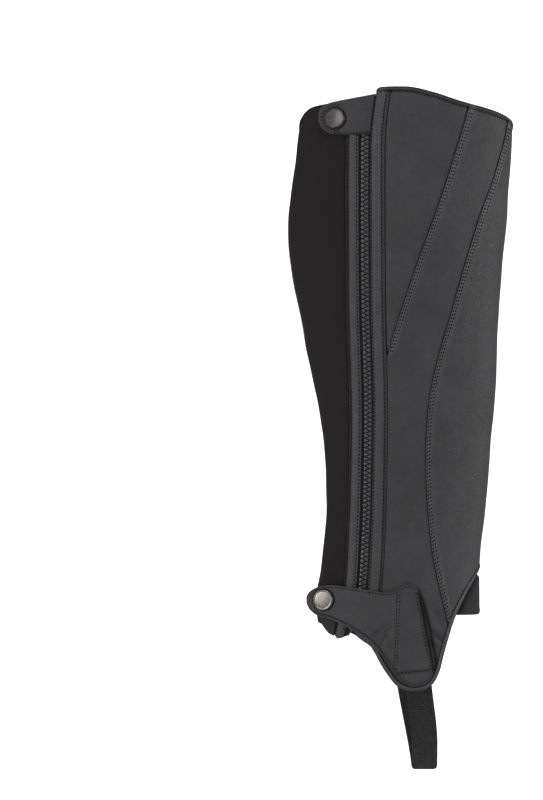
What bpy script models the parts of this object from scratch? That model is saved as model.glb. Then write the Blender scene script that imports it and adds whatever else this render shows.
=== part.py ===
"""Half chap for the right leg, zipped and snapped shut, open as it is round a calf.

The leg runs along +Z, the shin is towards +X and the outer side, with the zip, faces -Y.
The origin is the middle of the leg hollow at the calf's widest level.

Every cut piece lies on one leg wall. A place on the wall is two numbers: the turn round the leg
in degrees (0 at the shin, 90 on the outer side, -90 on the inner side, -180 at the back, and on to
-250 behind the zip) and the height. A piece is a patch between two seams and two edges, given a
thickness by moving its points out from the wall and in from it.
"""

import bmesh
import bpy
import numpy as np
from mathutils import Vector

MM = 0.001


def columns(names, rows):
    """A short table as a dictionary of its named columns."""
    return dict(zip(names.split(), np.array(rows, float).T))


# ---------------------------------------------------------------- driving sizes, in millimetres
# Sections of the leg wall: the back and front are where it reaches along X, depth is half its width,
# and squareness is the power of its outline: 2 is an ellipse, more has flatter sides.
RINGS = columns(
    "height back front depth squareness",
    [
        (104, -63.0, 83.6, 35.5, 2.3),
        (66, -68.6, 81.2, 38.0, 2.3),
        (30, -73.6, 78.8, 40.0, 2.3),
        (0, -75.6, 76.8, 40.5, 2.3),
        (-40, -71.9, 73.1, 39.5, 2.3),
        (-80, -63.8, 70.8, 37.5, 2.3),
        (-120, -56.4, 69.0, 35.0, 2.3),
        (-165, -50.4, 65.2, 32.8, 2.35),
        (-200, -49.2, 61.6, 32.2, 2.45),
        (-240, -53.4, 58.1, 32.6, 2.6),
        (-262, -56.4, 57.7, 32.9, 2.75),
        (-277, -55.4, 57.4, 33.0, 2.8),
        (-292, -52.0, 57.6, 32.9, 2.8),
        (-340, -50.0, 59.0, 31.8, 2.8),
    ],
)

LEATHER = 1.2
LINING = 1.0
STRETCH = 1.6
SEAM_GAP = 0.4
LAYER_GAP = 0.35
EDGE_GAP = 0.7  # between a panel's end and the fold of its binding
BINDING_WIDTH = 3.2
BINDING_PROUD = 0.4  # how far it stands out past the leather, and in past the lining
BINDING_ROUND = 0.9  # how far from its fold it is rounded
BINDING_ROUND_DROP = 0.8  # how far its fold lies back from its faces
TOP_BINDING_COLUMNS = 60
BOTTOM_BINDING_COLUMNS = 72
CLOTH_ROWS = 18  # rows of each panel that runs the whole height
TIP_ABOVE = 4.0  # how far above the diagonal seam's foot the upper panel ends

# Edges, as places on the outer, inner and rear faces. The rear face is the outer side behind the zip.
TOP_EDGE = [
    ("outer", -26, 96.0),
    ("outer", -17, 96.5),
    ("outer", -4, 97.2),
    ("outer", 10, 96.9),
    ("outer", 24.5, 93.6),
    ("outer", 45, 87.0),
    ("outer", 63.5, 81.2),
    ("outer", 74, 76.8),
    ("outer", 90, 71.6),
    ("inner", 74, 71.4),
    ("inner", 55, 72.0),
    ("inner", 25, 71.8),
    ("inner", -10, 71.4),
    ("inner", -38, 72.0),
    ("inner", -57, 73.2),
    ("inner", -90, 72.6),
    ("rear", -66.8, 74.4),
    ("rear", -63.8, 78.8),
    ("rear", -60.0, 82.0),
    ("rear", -54.0, 83.8),
    ("rear", -45, 85.2),
    ("rear", -34, 87.0),
    ("rear", -12, 90.4),
]
BOTTOM_EDGE = [
    ("outer", -38, -289.0),
    ("outer", -30, -289.4),
    ("outer", -23, -290.8),
    ("outer", -15.7, -296.8),
    ("outer", -7.6, -311.2),
    ("outer", 0.4, -322.4),
    ("outer", 8.6, -326.6),
    ("outer", 17.2, -326.2),
    ("outer", 25.6, -321.2),
    ("outer", 29.8, -313.6),
    ("outer", 32.8, -302.6),
    ("outer", 36.8, -288.4),
    ("outer", 42.8, -271.4),
    ("outer", 50.2, -256.8),
    ("outer", 70, -241.0),
    ("inner", 54.6, -247.6),
    ("inner", 45.0, -260.0),
    ("inner", 37.0, -274.6),
    ("inner", 32.4, -289.0),
    ("inner", 29.2, -303.0),
    ("inner", 25.8, -314.4),
    ("inner", 20.4, -321.8),
    ("inner", 13.0, -325.4),
    ("inner", 6.0, -324.6),
    ("inner", 0.4, -320.6),
    ("inner", -6.2, -311.0),
    ("inner", -14.0, -299.6),
    ("inner", -23.4, -291.4),
    ("inner", -36.0, -286.4),
    ("inner", -47.5, -282.2),
    ("inner", -80, -278.0),
    ("rear", -50, -280.0),
    ("rear", -43, -284.0),
    ("rear", -36, -287.6),
    ("rear", -20, -289.4),
]

# Seams: where each crosses a height, along X on its face.
ZIP_LINE = columns(
    "height x",
    [
        (104, -17.8),
        (92, -19.0),
        (80, -20.8),
        (66, -22.3),
        (40, -22.9),
        (0, -22.8),
        (-60, -22.4),
        (-125, -20.7),
        (-170, -21.1),
        (-205, -22.0),
        (-240, -23.6),
        (-300, -28.6),
    ],
)
DIAGONAL_SEAM = columns(
    "height x",
    [
        (104, 55.6),
        (80, 49.4),
        (50, 40.4),
        (12, 28.1),
        (-25, 14.6),
        (-72, -1.1),
        (-96, -8.4),
        (-130, -18),
    ],
)
OUTER_SHIN_SEAM = columns(
    "height x",
    [
        (100, 81.6),
        (70, 77.4),
        (35, 68.3),
        (6, 57.6),
        (-22, 48.8),
        (-58, 38.8),
        (-87, 30.2),
        (-116, 23.4),
        (-150, 20.2),
        (-170, 20.0),
        (-200, 21.4),
        (-233, 25.2),
        (-273, 34.0),
        (-300, 40.0),
    ],
)
INNER_SHIN_SEAM = columns(
    "height x",
    [
        (100, 50.5),
        (70, 54.5),
        (26, 61.5),
        (3, 65.6),
        (-25, 68.2),
        (-46, 68.6),
        (-74, 65.2),
        (-101, 58.6),
        (-128, 51.0),
        (-153, 44.2),
        (-182, 38.0),
        (-206, 34.2),
        (-230, 30.8),
        (-255, 28.0),
        (-275, 28.6),
        (-300, 33.0),
    ],
)
# The seam at the inner back, as the distance in from the wall's back.
INNER_BACK_SEAM = columns(
    "height inset",
    [
        (100, 20),
        (72, 14.6),
        (43, 9.0),
        (20, 5.8),
        (0, 3.2),
        (-21, 1.8),
        (-49, 0.8),
        (-69, 1.0),
        (-84, 2.4),
        (-100, 5.0),
        (-122, 9.4),
        (-141, 13.6),
        (-160, 17.2),
        (-186, 18.8),
        (-206, 18.0),
        (-228, 15.4),
        (-251, 12.2),
        (-285, 10.6),
        (-310, 10.0),
    ],
)
BACK_STRIP_WIDTH = 11.0

# Across the zip, as distances from its middle.
CHAIN_HALF = 2.9
OPENING_HALF = 4.2
TAPE_REACH = 9.6
REAR_STRIP_REACH = 13.8
FRONT_STRIP_REACH = 14.2
STRIP_PROUD = 0.6
TAPE_OUT = -1.6
TAPE_THICK = 0.8
CHAIN_OUT = -0.9
CHAIN_THICK = 2.4
CHAIN_TOP = 84.0
SLIDER_TOP = -274.0
SLIDER_LENGTH = 10.0
SLIDER_OUT = 0.2
SLIDER_THICK = 4.4

# Stirrup strap: a loop of elastic webbing under the foot. It hangs from inside the outer flap, turns under
# at LOOP_START and rises inside the inner flap.
WEBBING_WIDTH = 21.4
WEBBING_THICK = 1.5
WEBBING_IN = 3.5  # how deep it starts behind the leather's face
WEBBING_TOP = -306.0
LOOP_START = -352.0
LOOP_FOOT = -381.5
LOOP_HALF = 25.6
WEBBING_X = (14.4, 18.7, 10.6)  # the middle's X at the outer end, the foot and the inner end
STRAIGHT_ROWS = 6
BEND_ROWS = 9

# Instep tab: hangs below the leather in front, flush with it.
INSTEP_TOP = -226.0
INSTEP_FOOT = -271.4
INSTEP_BACK_OUTER = 31.0
INSTEP_BACK_INNER = 26.0
INSTEP_THICK = 1.4
INSTEP_IN = 3.6
INSTEP_FLARE = 3.0
FLARE_DROP = 11.0  # it comes out to the leather's face over this height

# Top tab: its two edges, from its round end to the strip in front of the zip.
TOP_TAB = columns(
    "top_x top bottom_x bottom",
    [
        (-55.2, 78.2, -55.2, 72.8),
        (-54.0, 81.2, -54.0, 69.8),
        (-51.5, 83.6, -51.6, 66.6),
        (-47.8, 85.3, -47.8, 64.2),
        (-42.0, 86.7, -42.6, 63.0),
        (-34.0, 88.2, -34.0, 62.9),
        (-27.0, 89.5, -27.0, 63.2),
        (-22.5, 90.3, -22.5, 63.5),
        (-15.8, 91.6, -18.9, 63.6),
    ],
)
TOP_TAB_THICK = 1.4
# How far its outer face lifts from the leather's, by the distance from the zip's middle along X.
TOP_TAB_LIFT = columns(
    "from_zip lift",
    [
        (-37, 5.1),
        (-28, 4.6),
        (-21, 4.0),
        (-13.5, 3.2),
        (-6.5, 2.7),
        (-3.6, 2.4),
        (0, 1.6),
        (2.5, 1.15),
        (4, 1.0),
    ],
)

# Ankle strap: its two edges, from its round end over the zip to the patch sewn on the flap.
ANKLE_STRAP = columns(
    "top_x top bottom_x bottom",
    [
        (-63.8, -260.4, -63.8, -264.4),
        (-62.6, -257.8, -62.2, -268.0),
        (-60.0, -255.4, -59.6, -271.0),
        (-55.0, -253.0, -55.0, -273.8),
        (-46.0, -252.0, -46.0, -276.2),
        (-36.0, -253.0, -36.4, -280.7),
        (-26.0, -254.5, -27.3, -286.0),
        (-16.0, -256.0, -18.2, -292.6),
        (-9.0, -256.9, -11.6, -300.0),
        (-3.4, -256.5, -5.0, -309.4),
        (1.0, -254.2, 1.6, -318.6),
        (5.0, -252.0, 7.6, -322.2),
        (9.4, -251.3, 13.8, -323.0),
        (13.4, -253.4, 20.0, -321.0),
        (16.6, -258.8, 24.4, -316.8),
        (19.0, -266.0, 26.8, -310.0),
    ],
)
STRAP_SHEET = columns(
    "x depth",
    [
        (-68, 21.0),
        (-60, 24.4),
        (-52, 27.6),
        (-44, 30.6),
        (-36, 33.0),
        (-28, 34.7),
        (-20, 35.4),
        (-10, 35.4),
        (0, 35.2),
    ],
)
STRAP_SEAT = (-20.0, -6.0)  # behind the first X it follows its own sheet, ahead of the second the leather
STRAP_CLEAR = 0.8
STRAP_THICK = 1.6

# The leather tab under the ankle strap's end, which holds the other half of its snap.
SNAP_BASE = columns(
    "top_x top bottom_x bottom",
    [
        (-58.4, -259.0, -58.4, -264.6),
        (-57.0, -256.4, -56.4, -271.0),
        (-53.0, -254.8, -52.6, -278.6),
        (-47.0, -254.2, -47.4, -286.0),
        (-38.8, -254.4, -41.8, -288.6),
    ],
)
SNAP_BASE_THICK = 1.4
STUD_ROOM = 2.0

# Snaps: metal caps on the free ends of the top tab and the ankle strap.
CAP_RADIUS = 7.25
CAP_THICK = 1.7
CAP_ABOVE = 0.4  # gap between the cap and its leather
STUD_RADIUS = 4.5
STUD_BELOW = 0.45  # gap between the leather and the stud
TOP_STUD_CLEAR = 1.5  # how far the top stud stops from the leather's plain face
ANKLE_STUD_CLEAR = 0.9  # how far the ankle stud stops from the tab below it
TOP_SNAP = (-43.4, 74.4)
ANKLE_SNAP = (-51.6, -262.4)

COLOURS = {
    "leather": (0.055, 0.055, 0.058, 0.45, 0.0),
    "binding": (0.06, 0.06, 0.062, 0.5, 0.0),
    "stretch": (0.018, 0.017, 0.018, 0.8, 0.0),
    "lining": (0.02, 0.02, 0.02, 0.9, 0.0),
    "webbing": (0.028, 0.028, 0.03, 0.8, 0.0),
    "zip": (0.02, 0.02, 0.022, 0.4, 0.0),
    "metal": (0.45, 0.44, 0.43, 0.35, 1.0),
}


# ------------------------------------------------------------------------------ curves and wall
def smooth(at, places, values):
    """A smooth curve through a table: cubic pieces whose slopes come from their neighbours."""
    order = np.argsort(places)
    xs, ys = np.asarray(places, float)[order], np.asarray(values, float)[order]
    steps = np.diff(ys) / np.diff(xs)
    before, after = np.diff(xs)[:-1], np.diff(xs)[1:]
    inner_slopes = (steps[:-1] * after + steps[1:] * before) / (before + after)
    slopes = np.concatenate([steps[:1], inner_slopes, steps[-1:]])
    at = np.asarray(at, float)
    i = np.clip(np.searchsorted(xs, at) - 1, 0, len(xs) - 2)
    width = xs[i + 1] - xs[i]
    t = np.clip((at - xs[i]) / width, 0, 1)
    rise = (1 + 2 * t) * (1 - t) ** 2 * ys[i] + t**2 * (3 - 2 * t) * ys[i + 1]
    return rise + width * (t * (1 - t) ** 2 * slopes[i] + t**2 * (t - 1) * slopes[i + 1])


def ease(share):
    """From 0 to 1, level at both ends."""
    share = np.clip(share, 0, 1)
    return share**2 * (3 - 2 * share)


def ring(height):
    """The middle, half length, half width and squareness of the wall's section at a height."""
    back, front, depth, power = (
        smooth(height, RINGS["height"], RINGS[name]) for name in ("back", "front", "depth", "squareness")
    )
    return (back + front) / 2, (front - back) / 2, depth, power


def around(face, x, height):
    """The turn, in degrees, of the place at X on the outer, inner or rear face."""
    middle, half, _, power = ring(height)
    along = np.clip((x - middle) / half, -1, 1)
    across = (1 - np.abs(along) ** power) ** (1 / power)
    turn = np.degrees(np.arctan2(across, along))
    return {"outer": turn, "inner": -turn, "rear": turn - 360}[face]


def wall_surface(turn, height):
    """Points on the outer face of the leather."""
    middle, half, depth, power = ring(height)
    c, s = np.cos(np.radians(turn)), np.sin(np.radians(turn))
    reach = (np.abs(c) ** power + np.abs(s) ** power) ** (-1 / power)
    return np.stack([middle + half * c * reach, -depth * s * reach, height + 0 * c], axis=-1)


def mm_per_degree(turn, height):
    """How far a degree of turn is on the wall."""
    return np.linalg.norm(wall_surface(turn + 0.5, height) - wall_surface(turn - 0.5, height), axis=-1)


def on_wall(grid, distance):
    """Points of a grid of (turn, height), moved out from the wall along its normal."""
    turn, height = grid[..., 0], grid[..., 1]
    across = wall_surface(turn + 0.2, height) - wall_surface(turn - 0.2, height)
    upward = wall_surface(turn, height + 0.2) - wall_surface(turn, height - 0.2)
    normal = np.cross(upward, across)
    normal /= np.linalg.norm(normal, axis=-1, keepdims=True)
    return wall_surface(turn, height) + normal * np.broadcast_to(distance, turn.shape)[..., None]


def edge(rows, step=1.0):
    """A dense line of (turn, height) along an edge table."""
    places = np.array([(around(face, x, height), height) for face, x, height in rows], float)
    spans = np.linalg.norm(np.diff(places, axis=0), axis=1)
    travelled = np.concatenate([[0], np.cumsum(spans)])
    at = np.linspace(0, travelled[-1], int(travelled[-1] / step) + 1)
    return np.stack([smooth(at, travelled, places[:, 0]), smooth(at, travelled, places[:, 1])], axis=1)


def lowered(line, distance):
    """A line of (turn, height) moved to its right, seen from outside: down, where it runs to the right."""
    scale = mm_per_degree(line[:, 0], line[:, 1])
    run, rise = -scale * np.gradient(line[:, 0]), np.gradient(line[:, 1])
    length = np.hypot(run, rise)
    moved = line.copy()
    moved[:, 0] -= rise / length * distance / scale
    moved[:, 1] -= run / length * distance
    return moved


def evenly(line, count):
    """A line's points, evenly spaced along it."""
    scale = mm_per_degree(line[:-1, 0], line[:-1, 1])
    spans = np.hypot(np.diff(line[:, 0]) * scale, np.diff(line[:, 1]))
    travelled = np.concatenate([[0], np.cumsum(spans)])
    at = np.linspace(0, travelled[-1], count)
    return np.stack([np.interp(at, travelled, column) for column in line.T], axis=1)


def to_right(turn, height, distance):
    """A turn moved round the wall by a distance, to the right seen from outside."""
    steps = 4
    for _ in range(steps):
        turn = turn - distance / steps / mm_per_degree(turn, height)
    return turn


# -------------------------------------------------------------------------------------- seams
def seam(table, face, right=0.0):
    """The turn of a seam at any height, moved to the right by a distance."""

    def turn(height):
        """The turn at a height."""
        return to_right(around(face, smooth(height, table["height"], table["x"]), height), height, right)

    return turn


def back_seam(right=0.0):
    """The seam between the large inner panel and the strip at the inner back."""

    def turn(height):
        """The turn at a height."""
        middle, half, _, _ = ring(height)
        x = middle - half + smooth(height, INNER_BACK_SEAM["height"], INNER_BACK_SEAM["inset"])
        return to_right(around("inner", x, height), height, right)

    return turn


def crossing(line, turn_at):
    """Where along a line it meets a seam, as a fractional index."""
    side = line[:, 0] - turn_at(line[:, 1])
    i = np.nonzero(np.sign(side[:-1]) != np.sign(side[1:]))[0][0]
    return i + side[i] / (side[i] - side[i + 1])


def between_seams(line, left_seam, right_seam, count):
    """The part of a line from one seam to another, evenly spaced."""
    first, last = crossing(line, left_seam), crossing(line, right_seam)
    index = np.concatenate([[first], np.arange(np.ceil(first + 1e-6), last), [last]])
    part = np.stack([np.interp(index, np.arange(len(line)), column) for column in line.T], axis=1)
    return evenly(part, count)


def patch(left, right, top, bottom, shares):
    """A grid between four sides: left blended to right, plus top to bottom, less their corners."""
    u = np.linspace(0, 1, len(top))[None, :, None]
    v = np.asarray(shares)[:, None, None]
    sides = (1 - u) * left[:, None] + u * right[:, None]
    ends = (1 - v) * top[None] + v * bottom[None]
    corners = (1 - v) * ((1 - u) * top[0] + u * top[-1]) + v * ((1 - u) * bottom[0] + u * bottom[-1])
    return sides + ends - corners


def cut_piece(left_seam, right_seam, top_line, bottom_line, across, down=CLOTH_ROWS, knot=None):
    """The grid of (turn, height) of a piece between two seams, from its top line to its bottom line.

    knot is a height at which the left side turns a corner, where the grid has a row.
    """
    top = between_seams(top_line, left_seam, right_seam, across + 1)
    bottom = between_seams(bottom_line, left_seam, right_seam, across + 1)
    shares = np.linspace(0, 1, down + 1)
    if knot is not None:
        share = (top[0, 1] - knot) / (top[0, 1] - bottom[0, 1])
        rows = round(share * down)
        shares = np.concatenate([np.linspace(0, share, rows + 1), np.linspace(share, 1, down - rows + 1)[1:]])
    sides = []
    for turn_at, start, end in ((left_seam, top[0], bottom[0]), (right_seam, top[-1], bottom[-1])):
        heights = start[1] + shares * (end[1] - start[1])
        sides.append(np.stack([turn_at(heights), heights], axis=1))
    return patch(sides[0], sides[1], top, bottom, shares)


def level_line(height):
    """A level line round the whole wall, from beyond the zip's front edge to beyond its back edge."""
    first_turn, last_turn = 125, -255
    turns = np.linspace(first_turn, last_turn, first_turn - last_turn + 1)
    return np.stack([turns, np.full_like(turns, height)], axis=1)


def outlined(table, down):
    """A grid of (x, height) between the two edges of a tab."""
    v = np.linspace(0, 1, down + 1)[:, None, None]
    top = np.stack([table["top_x"], table["top"]], axis=1)
    bottom = np.stack([table["bottom_x"], table["bottom"]], axis=1)
    return (1 - v) * top + v * bottom


# ------------------------------------------------------------------------------------- solids
def clear_scene():
    """Remove every object."""
    for old in list(bpy.data.objects):
        bpy.data.objects.remove(old, do_unlink=True)


def material(name):
    """A Principled material of one of the colours."""
    red, green, blue, roughness, metallic = COLOURS[name]
    made = bpy.data.materials.get(name) or bpy.data.materials.new(name)
    made.use_nodes = True
    shader = made.node_tree.nodes["Principled BSDF"]
    shader.inputs["Base Color"].default_value = (red, green, blue, 1)
    shader.inputs["Roughness"].default_value = roughness
    shader.inputs["Metallic"].default_value = metallic
    return made


def add_object(collection, name, mesh, finish):
    """A named object in a collection, with its finish."""
    mesh.materials.append(material(finish))
    made = bpy.data.objects.new(name, mesh)
    collection.objects.link(made)
    return made


def add_sheet(collection, name, outer, inner, finish):
    """A wall of cloth: a grid on its outer points, extruded to its inner points."""
    rows, cols = outer.shape[:2]
    edit = bmesh.new()
    place = edit.verts.layers.int.new("place")
    bmesh.ops.create_grid(edit, x_segments=cols - 1, y_segments=rows - 1, size=1)
    for i, (vertex, point) in enumerate(zip(edit.verts, outer.reshape(-1, 3))):
        vertex[place] = i
        vertex.co = Vector(point) * MM
    lifted = bmesh.ops.extrude_face_region(edit, geom=edit.faces[:])["geom"]
    inner = inner.reshape(-1, 3)
    for vertex in lifted:
        if isinstance(vertex, bmesh.types.BMVert):
            vertex.co = Vector(inner[vertex[place]]) * MM
    bmesh.ops.recalc_face_normals(edit, faces=edit.faces)
    mesh = bpy.data.meshes.new(name)
    edit.to_mesh(mesh)
    edit.free()
    mesh.shade_smooth()
    mesh.set_sharp_from_angle(angle=np.radians(50))
    return add_object(collection, name, mesh, finish)


def add_wall_piece(collection, name, grid, out, thickness, finish):
    """A wall of cloth on a grid of (turn, height), from a distance out from the leather's face."""
    return add_sheet(collection, name, on_wall(grid, out), on_wall(grid, np.asarray(out) - thickness), finish)


def add_turned(collection, name, profile, foot, axis, finish):
    """A turned piece: a profile of (radius, height) swept by a Screw about the axis through its foot."""
    mesh = bpy.data.meshes.new(name)
    points = [(radius * MM, 0, height * MM) for radius, height in profile]
    mesh.from_pydata(points, [(i, i + 1) for i in range(len(points) - 1)], [])
    made = add_object(collection, name, mesh, finish)
    screw = made.modifiers.new("Screw", "SCREW")
    screw.steps = screw.render_steps = 24
    screw.use_merge_vertices = True
    screw.merge_threshold = 0.00001
    made.rotation_mode = "QUATERNION"
    made.rotation_quaternion = Vector(axis).to_track_quat("Z", "Y")
    made.location = Vector(foot) * MM
    return made


# ------------------------------------------------------------------------------ the cut pieces
def junction_height():
    """Where the diagonal seam meets the strip in front of the zip."""
    heights = np.linspace(-60, -120, 601)
    apart = seam(DIAGONAL_SEAM, "outer")(heights) - seam(ZIP_LINE, "outer", FRONT_STRIP_REACH)(heights)
    return heights[np.argmin(np.abs(apart))]


def bound_lines():
    """The top and bottom lines where bound leather ends, just inside the bindings' edges."""
    margin = BINDING_WIDTH + EDGE_GAP
    return lowered(edge(TOP_EDGE), margin), lowered(edge(BOTTOM_EDGE), -margin)


def outer_panel_side(height):
    """The outer panel's left side: the diagonal seam, and below its foot the strip beside the zip."""
    half = SEAM_GAP / 2
    strip_side = seam(ZIP_LINE, "outer", FRONT_STRIP_REACH + half)
    return np.minimum(strip_side(height), seam(DIAGONAL_SEAM, "outer", half)(height))


def panel_grids():
    """The grids of the leather panels and the stretch panel, by name."""
    top, bottom = bound_lines()
    half = SEAM_GAP / 2
    strip_side = seam(ZIP_LINE, "outer", FRONT_STRIP_REACH + half)
    diagonal = seam(DIAGONAL_SEAM, "outer", -half)
    outer_shin = seam(OUTER_SHIN_SEAM, "outer", -half), seam(OUTER_SHIN_SEAM, "outer", half)
    inner_shin = seam(INNER_SHIN_SEAM, "inner", -half), seam(INNER_SHIN_SEAM, "inner", half)
    strip_back = back_seam(BACK_STRIP_WIDTH - half)
    stretch_back = back_seam(BACK_STRIP_WIDTH + half)
    stretch_front = seam(ZIP_LINE, "rear", -REAR_STRIP_REACH - half)
    knot = junction_height()
    rows_above = round((top[0, 1] - knot) / (top[0, 1] - bottom[0, 1]) * CLOTH_ROWS)
    return {
        "outer_upper_panel": cut_piece(strip_side, diagonal, top, level_line(knot + TIP_ABOVE), 6, rows_above),
        "outer_panel": cut_piece(outer_panel_side, outer_shin[0], top, bottom, 12, knot=knot),
        "shin_panel": cut_piece(outer_shin[1], inner_shin[0], top, bottom, 14),
        "inner_panel": cut_piece(inner_shin[1], back_seam(-half), top, bottom, 20),
        "inner_back_strip": cut_piece(back_seam(half), strip_back, top, bottom, 2),
        "stretch_panel": cut_piece(stretch_back, stretch_front, edge(TOP_EDGE), edge(BOTTOM_EDGE), 10),
    }


def build_panels(collection):
    """The leather panels with their linings, the strip at the inner back and the stretch panel."""
    for name, grid in panel_grids().items():
        if name == "stretch_panel":
            add_wall_piece(collection, name, grid, 0, STRETCH, "stretch")
        elif name == "inner_back_strip":
            add_wall_piece(collection, name, grid, STRIP_PROUD, STRIP_PROUD + LEATHER, "leather")
        else:
            add_wall_piece(collection, name, grid, 0, LEATHER, "leather")
            lining = name.replace("_panel", "_lining")
            add_wall_piece(collection, lining, grid, -LEATHER - LAYER_GAP, LINING, "lining")


def build_bindings(collection):
    """The folded strips over the leather's top and bottom edges."""
    left = seam(ZIP_LINE, "outer", OPENING_HALF)
    right = back_seam(BACK_STRIP_WIDTH - SEAM_GAP)
    depth = LEATHER + LAYER_GAP + LINING
    fold = np.array([BINDING_ROUND_DROP, 0, 0])[:, None]
    out, inner = BINDING_PROUD - fold, fold - depth - BINDING_PROUD
    for name, rows, side, count in (
        ("top_binding", TOP_EDGE, 1, TOP_BINDING_COLUMNS),
        ("bottom_binding", BOTTOM_EDGE, -1, BOTTOM_BINDING_COLUMNS),
    ):
        line = edge(rows)
        drops = (0, BINDING_ROUND, BINDING_WIDTH)
        grid = np.stack([between_seams(lowered(line, side * drop), left, right, count) for drop in drops])
        add_sheet(collection, name, on_wall(grid, out), on_wall(grid, inner), "binding")


def build_zip(collection):
    """The zip: two leather strips, two tapes under them, the chain and its slider."""
    bound = bound_lines()
    plain = edge(TOP_EDGE), edge(BOTTOM_EDGE)
    tape_start = CHAIN_HALF + SEAM_GAP
    strips = {
        "zip_front_strip": ("outer", OPENING_HALF, FRONT_STRIP_REACH - SEAM_GAP / 2, bound),
        "zip_rear_strip": ("rear", -REAR_STRIP_REACH + SEAM_GAP / 2, -OPENING_HALF, plain),
    }
    for name, (face, left, right, lines) in strips.items():
        grid = cut_piece(seam(ZIP_LINE, face, left), seam(ZIP_LINE, face, right), *lines, 2)
        add_wall_piece(collection, name, grid, STRIP_PROUD, STRIP_PROUD + LEATHER, "leather")
    tapes = {
        "zip_front_tape": ("outer", tape_start, TAPE_REACH, bound),
        "zip_rear_tape": ("rear", -TAPE_REACH, -tape_start, plain),
    }
    for name, (face, left, right, lines) in tapes.items():
        grid = cut_piece(seam(ZIP_LINE, face, left), seam(ZIP_LINE, face, right), *lines, 1)
        add_wall_piece(collection, name, grid, TAPE_OUT, TAPE_THICK, "zip")
    left, right = seam(ZIP_LINE, "outer", -CHAIN_HALF), seam(ZIP_LINE, "outer", CHAIN_HALF)
    chain = cut_piece(left, right, level_line(CHAIN_TOP), level_line(SLIDER_TOP + SEAM_GAP), 2)
    add_wall_piece(collection, "zip_chain", chain, CHAIN_OUT, CHAIN_THICK, "zip")
    slider = cut_piece(left, right, level_line(SLIDER_TOP), level_line(SLIDER_TOP - SLIDER_LENGTH), 2, 2)
    add_wall_piece(collection, "zip_slider", slider, SLIDER_OUT, SLIDER_THICK, "metal")


def build_instep_tab(collection):
    """The tab below the shin: inside the leather at its top, out at the leather's face below its edge."""
    left = seam({"height": [0, -400], "x": [INSTEP_BACK_OUTER] * 2}, "outer")
    right = seam({"height": [0, -400], "x": [INSTEP_BACK_INNER] * 2}, "inner")
    grid = cut_piece(left, right, level_line(INSTEP_TOP), level_line(INSTEP_FOOT), 16, 8)
    line = edge(BOTTOM_EDGE)[::-1]
    leather_ends = np.interp(grid[..., 0], line[:, 0], line[:, 1])
    out = INSTEP_FLARE * ease((leather_ends - 1.0 - grid[..., 1]) / FLARE_DROP) - INSTEP_IN
    add_wall_piece(collection, "instep_tab", grid, out, INSTEP_THICK, "stretch")


def stirrup_side(face, x_top):
    """The middle line of the webbing from its sewn end down to the foot, on one side of the leg."""
    straight = np.linspace(WEBBING_TOP, LOOP_START, STRAIGHT_ROWS)[:-1]
    bend = np.radians(np.linspace(0, 90, BEND_ROWS))
    height = np.concatenate([straight, LOOP_START + (LOOP_FOOT - LOOP_START) * np.sin(bend)])
    x = x_top + (WEBBING_X[1] - x_top) * ease((WEBBING_TOP - height) / (WEBBING_TOP - LOOP_FOOT))
    corners = x_top + np.array([-0.5, 0, 0.5]) * WEBBING_WIDTH
    sewn = on_wall(np.stack([around(face, corners, WEBBING_TOP), np.full(3, WEBBING_TOP)], axis=-1), -WEBBING_IN)
    start = np.abs(sewn[:, 1]).min()
    hanging = start + (LOOP_HALF - start) * ease((WEBBING_TOP - straight) / (WEBBING_TOP - LOOP_START))
    depth = np.concatenate([hanging, LOOP_HALF * np.cos(bend)])
    return np.stack([x, -depth if face == "outer" else depth, height], axis=1)


def build_stirrup(collection):
    """The webbing loop: down inside the outer flap, under the foot and up inside the inner flap."""
    down, up = stirrup_side("outer", WEBBING_X[0]), stirrup_side("inner", WEBBING_X[2])
    path = np.concatenate([down, up[::-1][1:]])
    outward = np.cross(np.gradient(path, axis=0), (1.0, 0.0, 0.0))
    outward /= np.linalg.norm(outward, axis=1, keepdims=True)
    across = np.linspace(-0.5, 0.5, 3)[:, None] * np.array([WEBBING_WIDTH, 0.0, 0.0])
    outer = path[:, None] + across
    add_sheet(collection, "stirrup_strap", outer, outer - outward[:, None] * WEBBING_THICK, "webbing")


# ------------------------------------------------------------------------------- tabs and snaps
def top_tab_points(grid):
    """The top tab's outer points, lifted from the wall by its table."""
    x, height = grid[..., 0], grid[..., 1]
    places = np.stack([around("outer", x, height), height], axis=-1)
    from_zip = x - smooth(height, ZIP_LINE["height"], ZIP_LINE["x"])
    return places, smooth(from_zip, TOP_TAB_LIFT["from_zip"], TOP_TAB_LIFT["lift"])


def strap_depth(x, height):
    """How far the ankle strap's outer face lies from the leg's middle plane."""
    places = np.stack([around("outer", x, height), height], axis=-1)
    on_leather = -on_wall(places, STRAP_CLEAR + STRAP_THICK)[..., 1]
    own_sheet = smooth(x, STRAP_SHEET["x"], STRAP_SHEET["depth"])
    seated = ease((x - STRAP_SEAT[0]) / (STRAP_SEAT[1] - STRAP_SEAT[0]))
    return own_sheet + (on_leather - own_sheet) * seated


def base_depth(x, height):
    """How far the outer face of the tab under the strap's end lies from the leg's middle plane."""
    places = np.stack([around("outer", x, height), height], axis=-1)
    on_stretch = -on_wall(places, LAYER_GAP + SNAP_BASE_THICK)[..., 1]
    under_strap = strap_depth(x, height) - STRAP_THICK - STUD_ROOM
    return np.maximum(under_strap, on_stretch)


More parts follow.
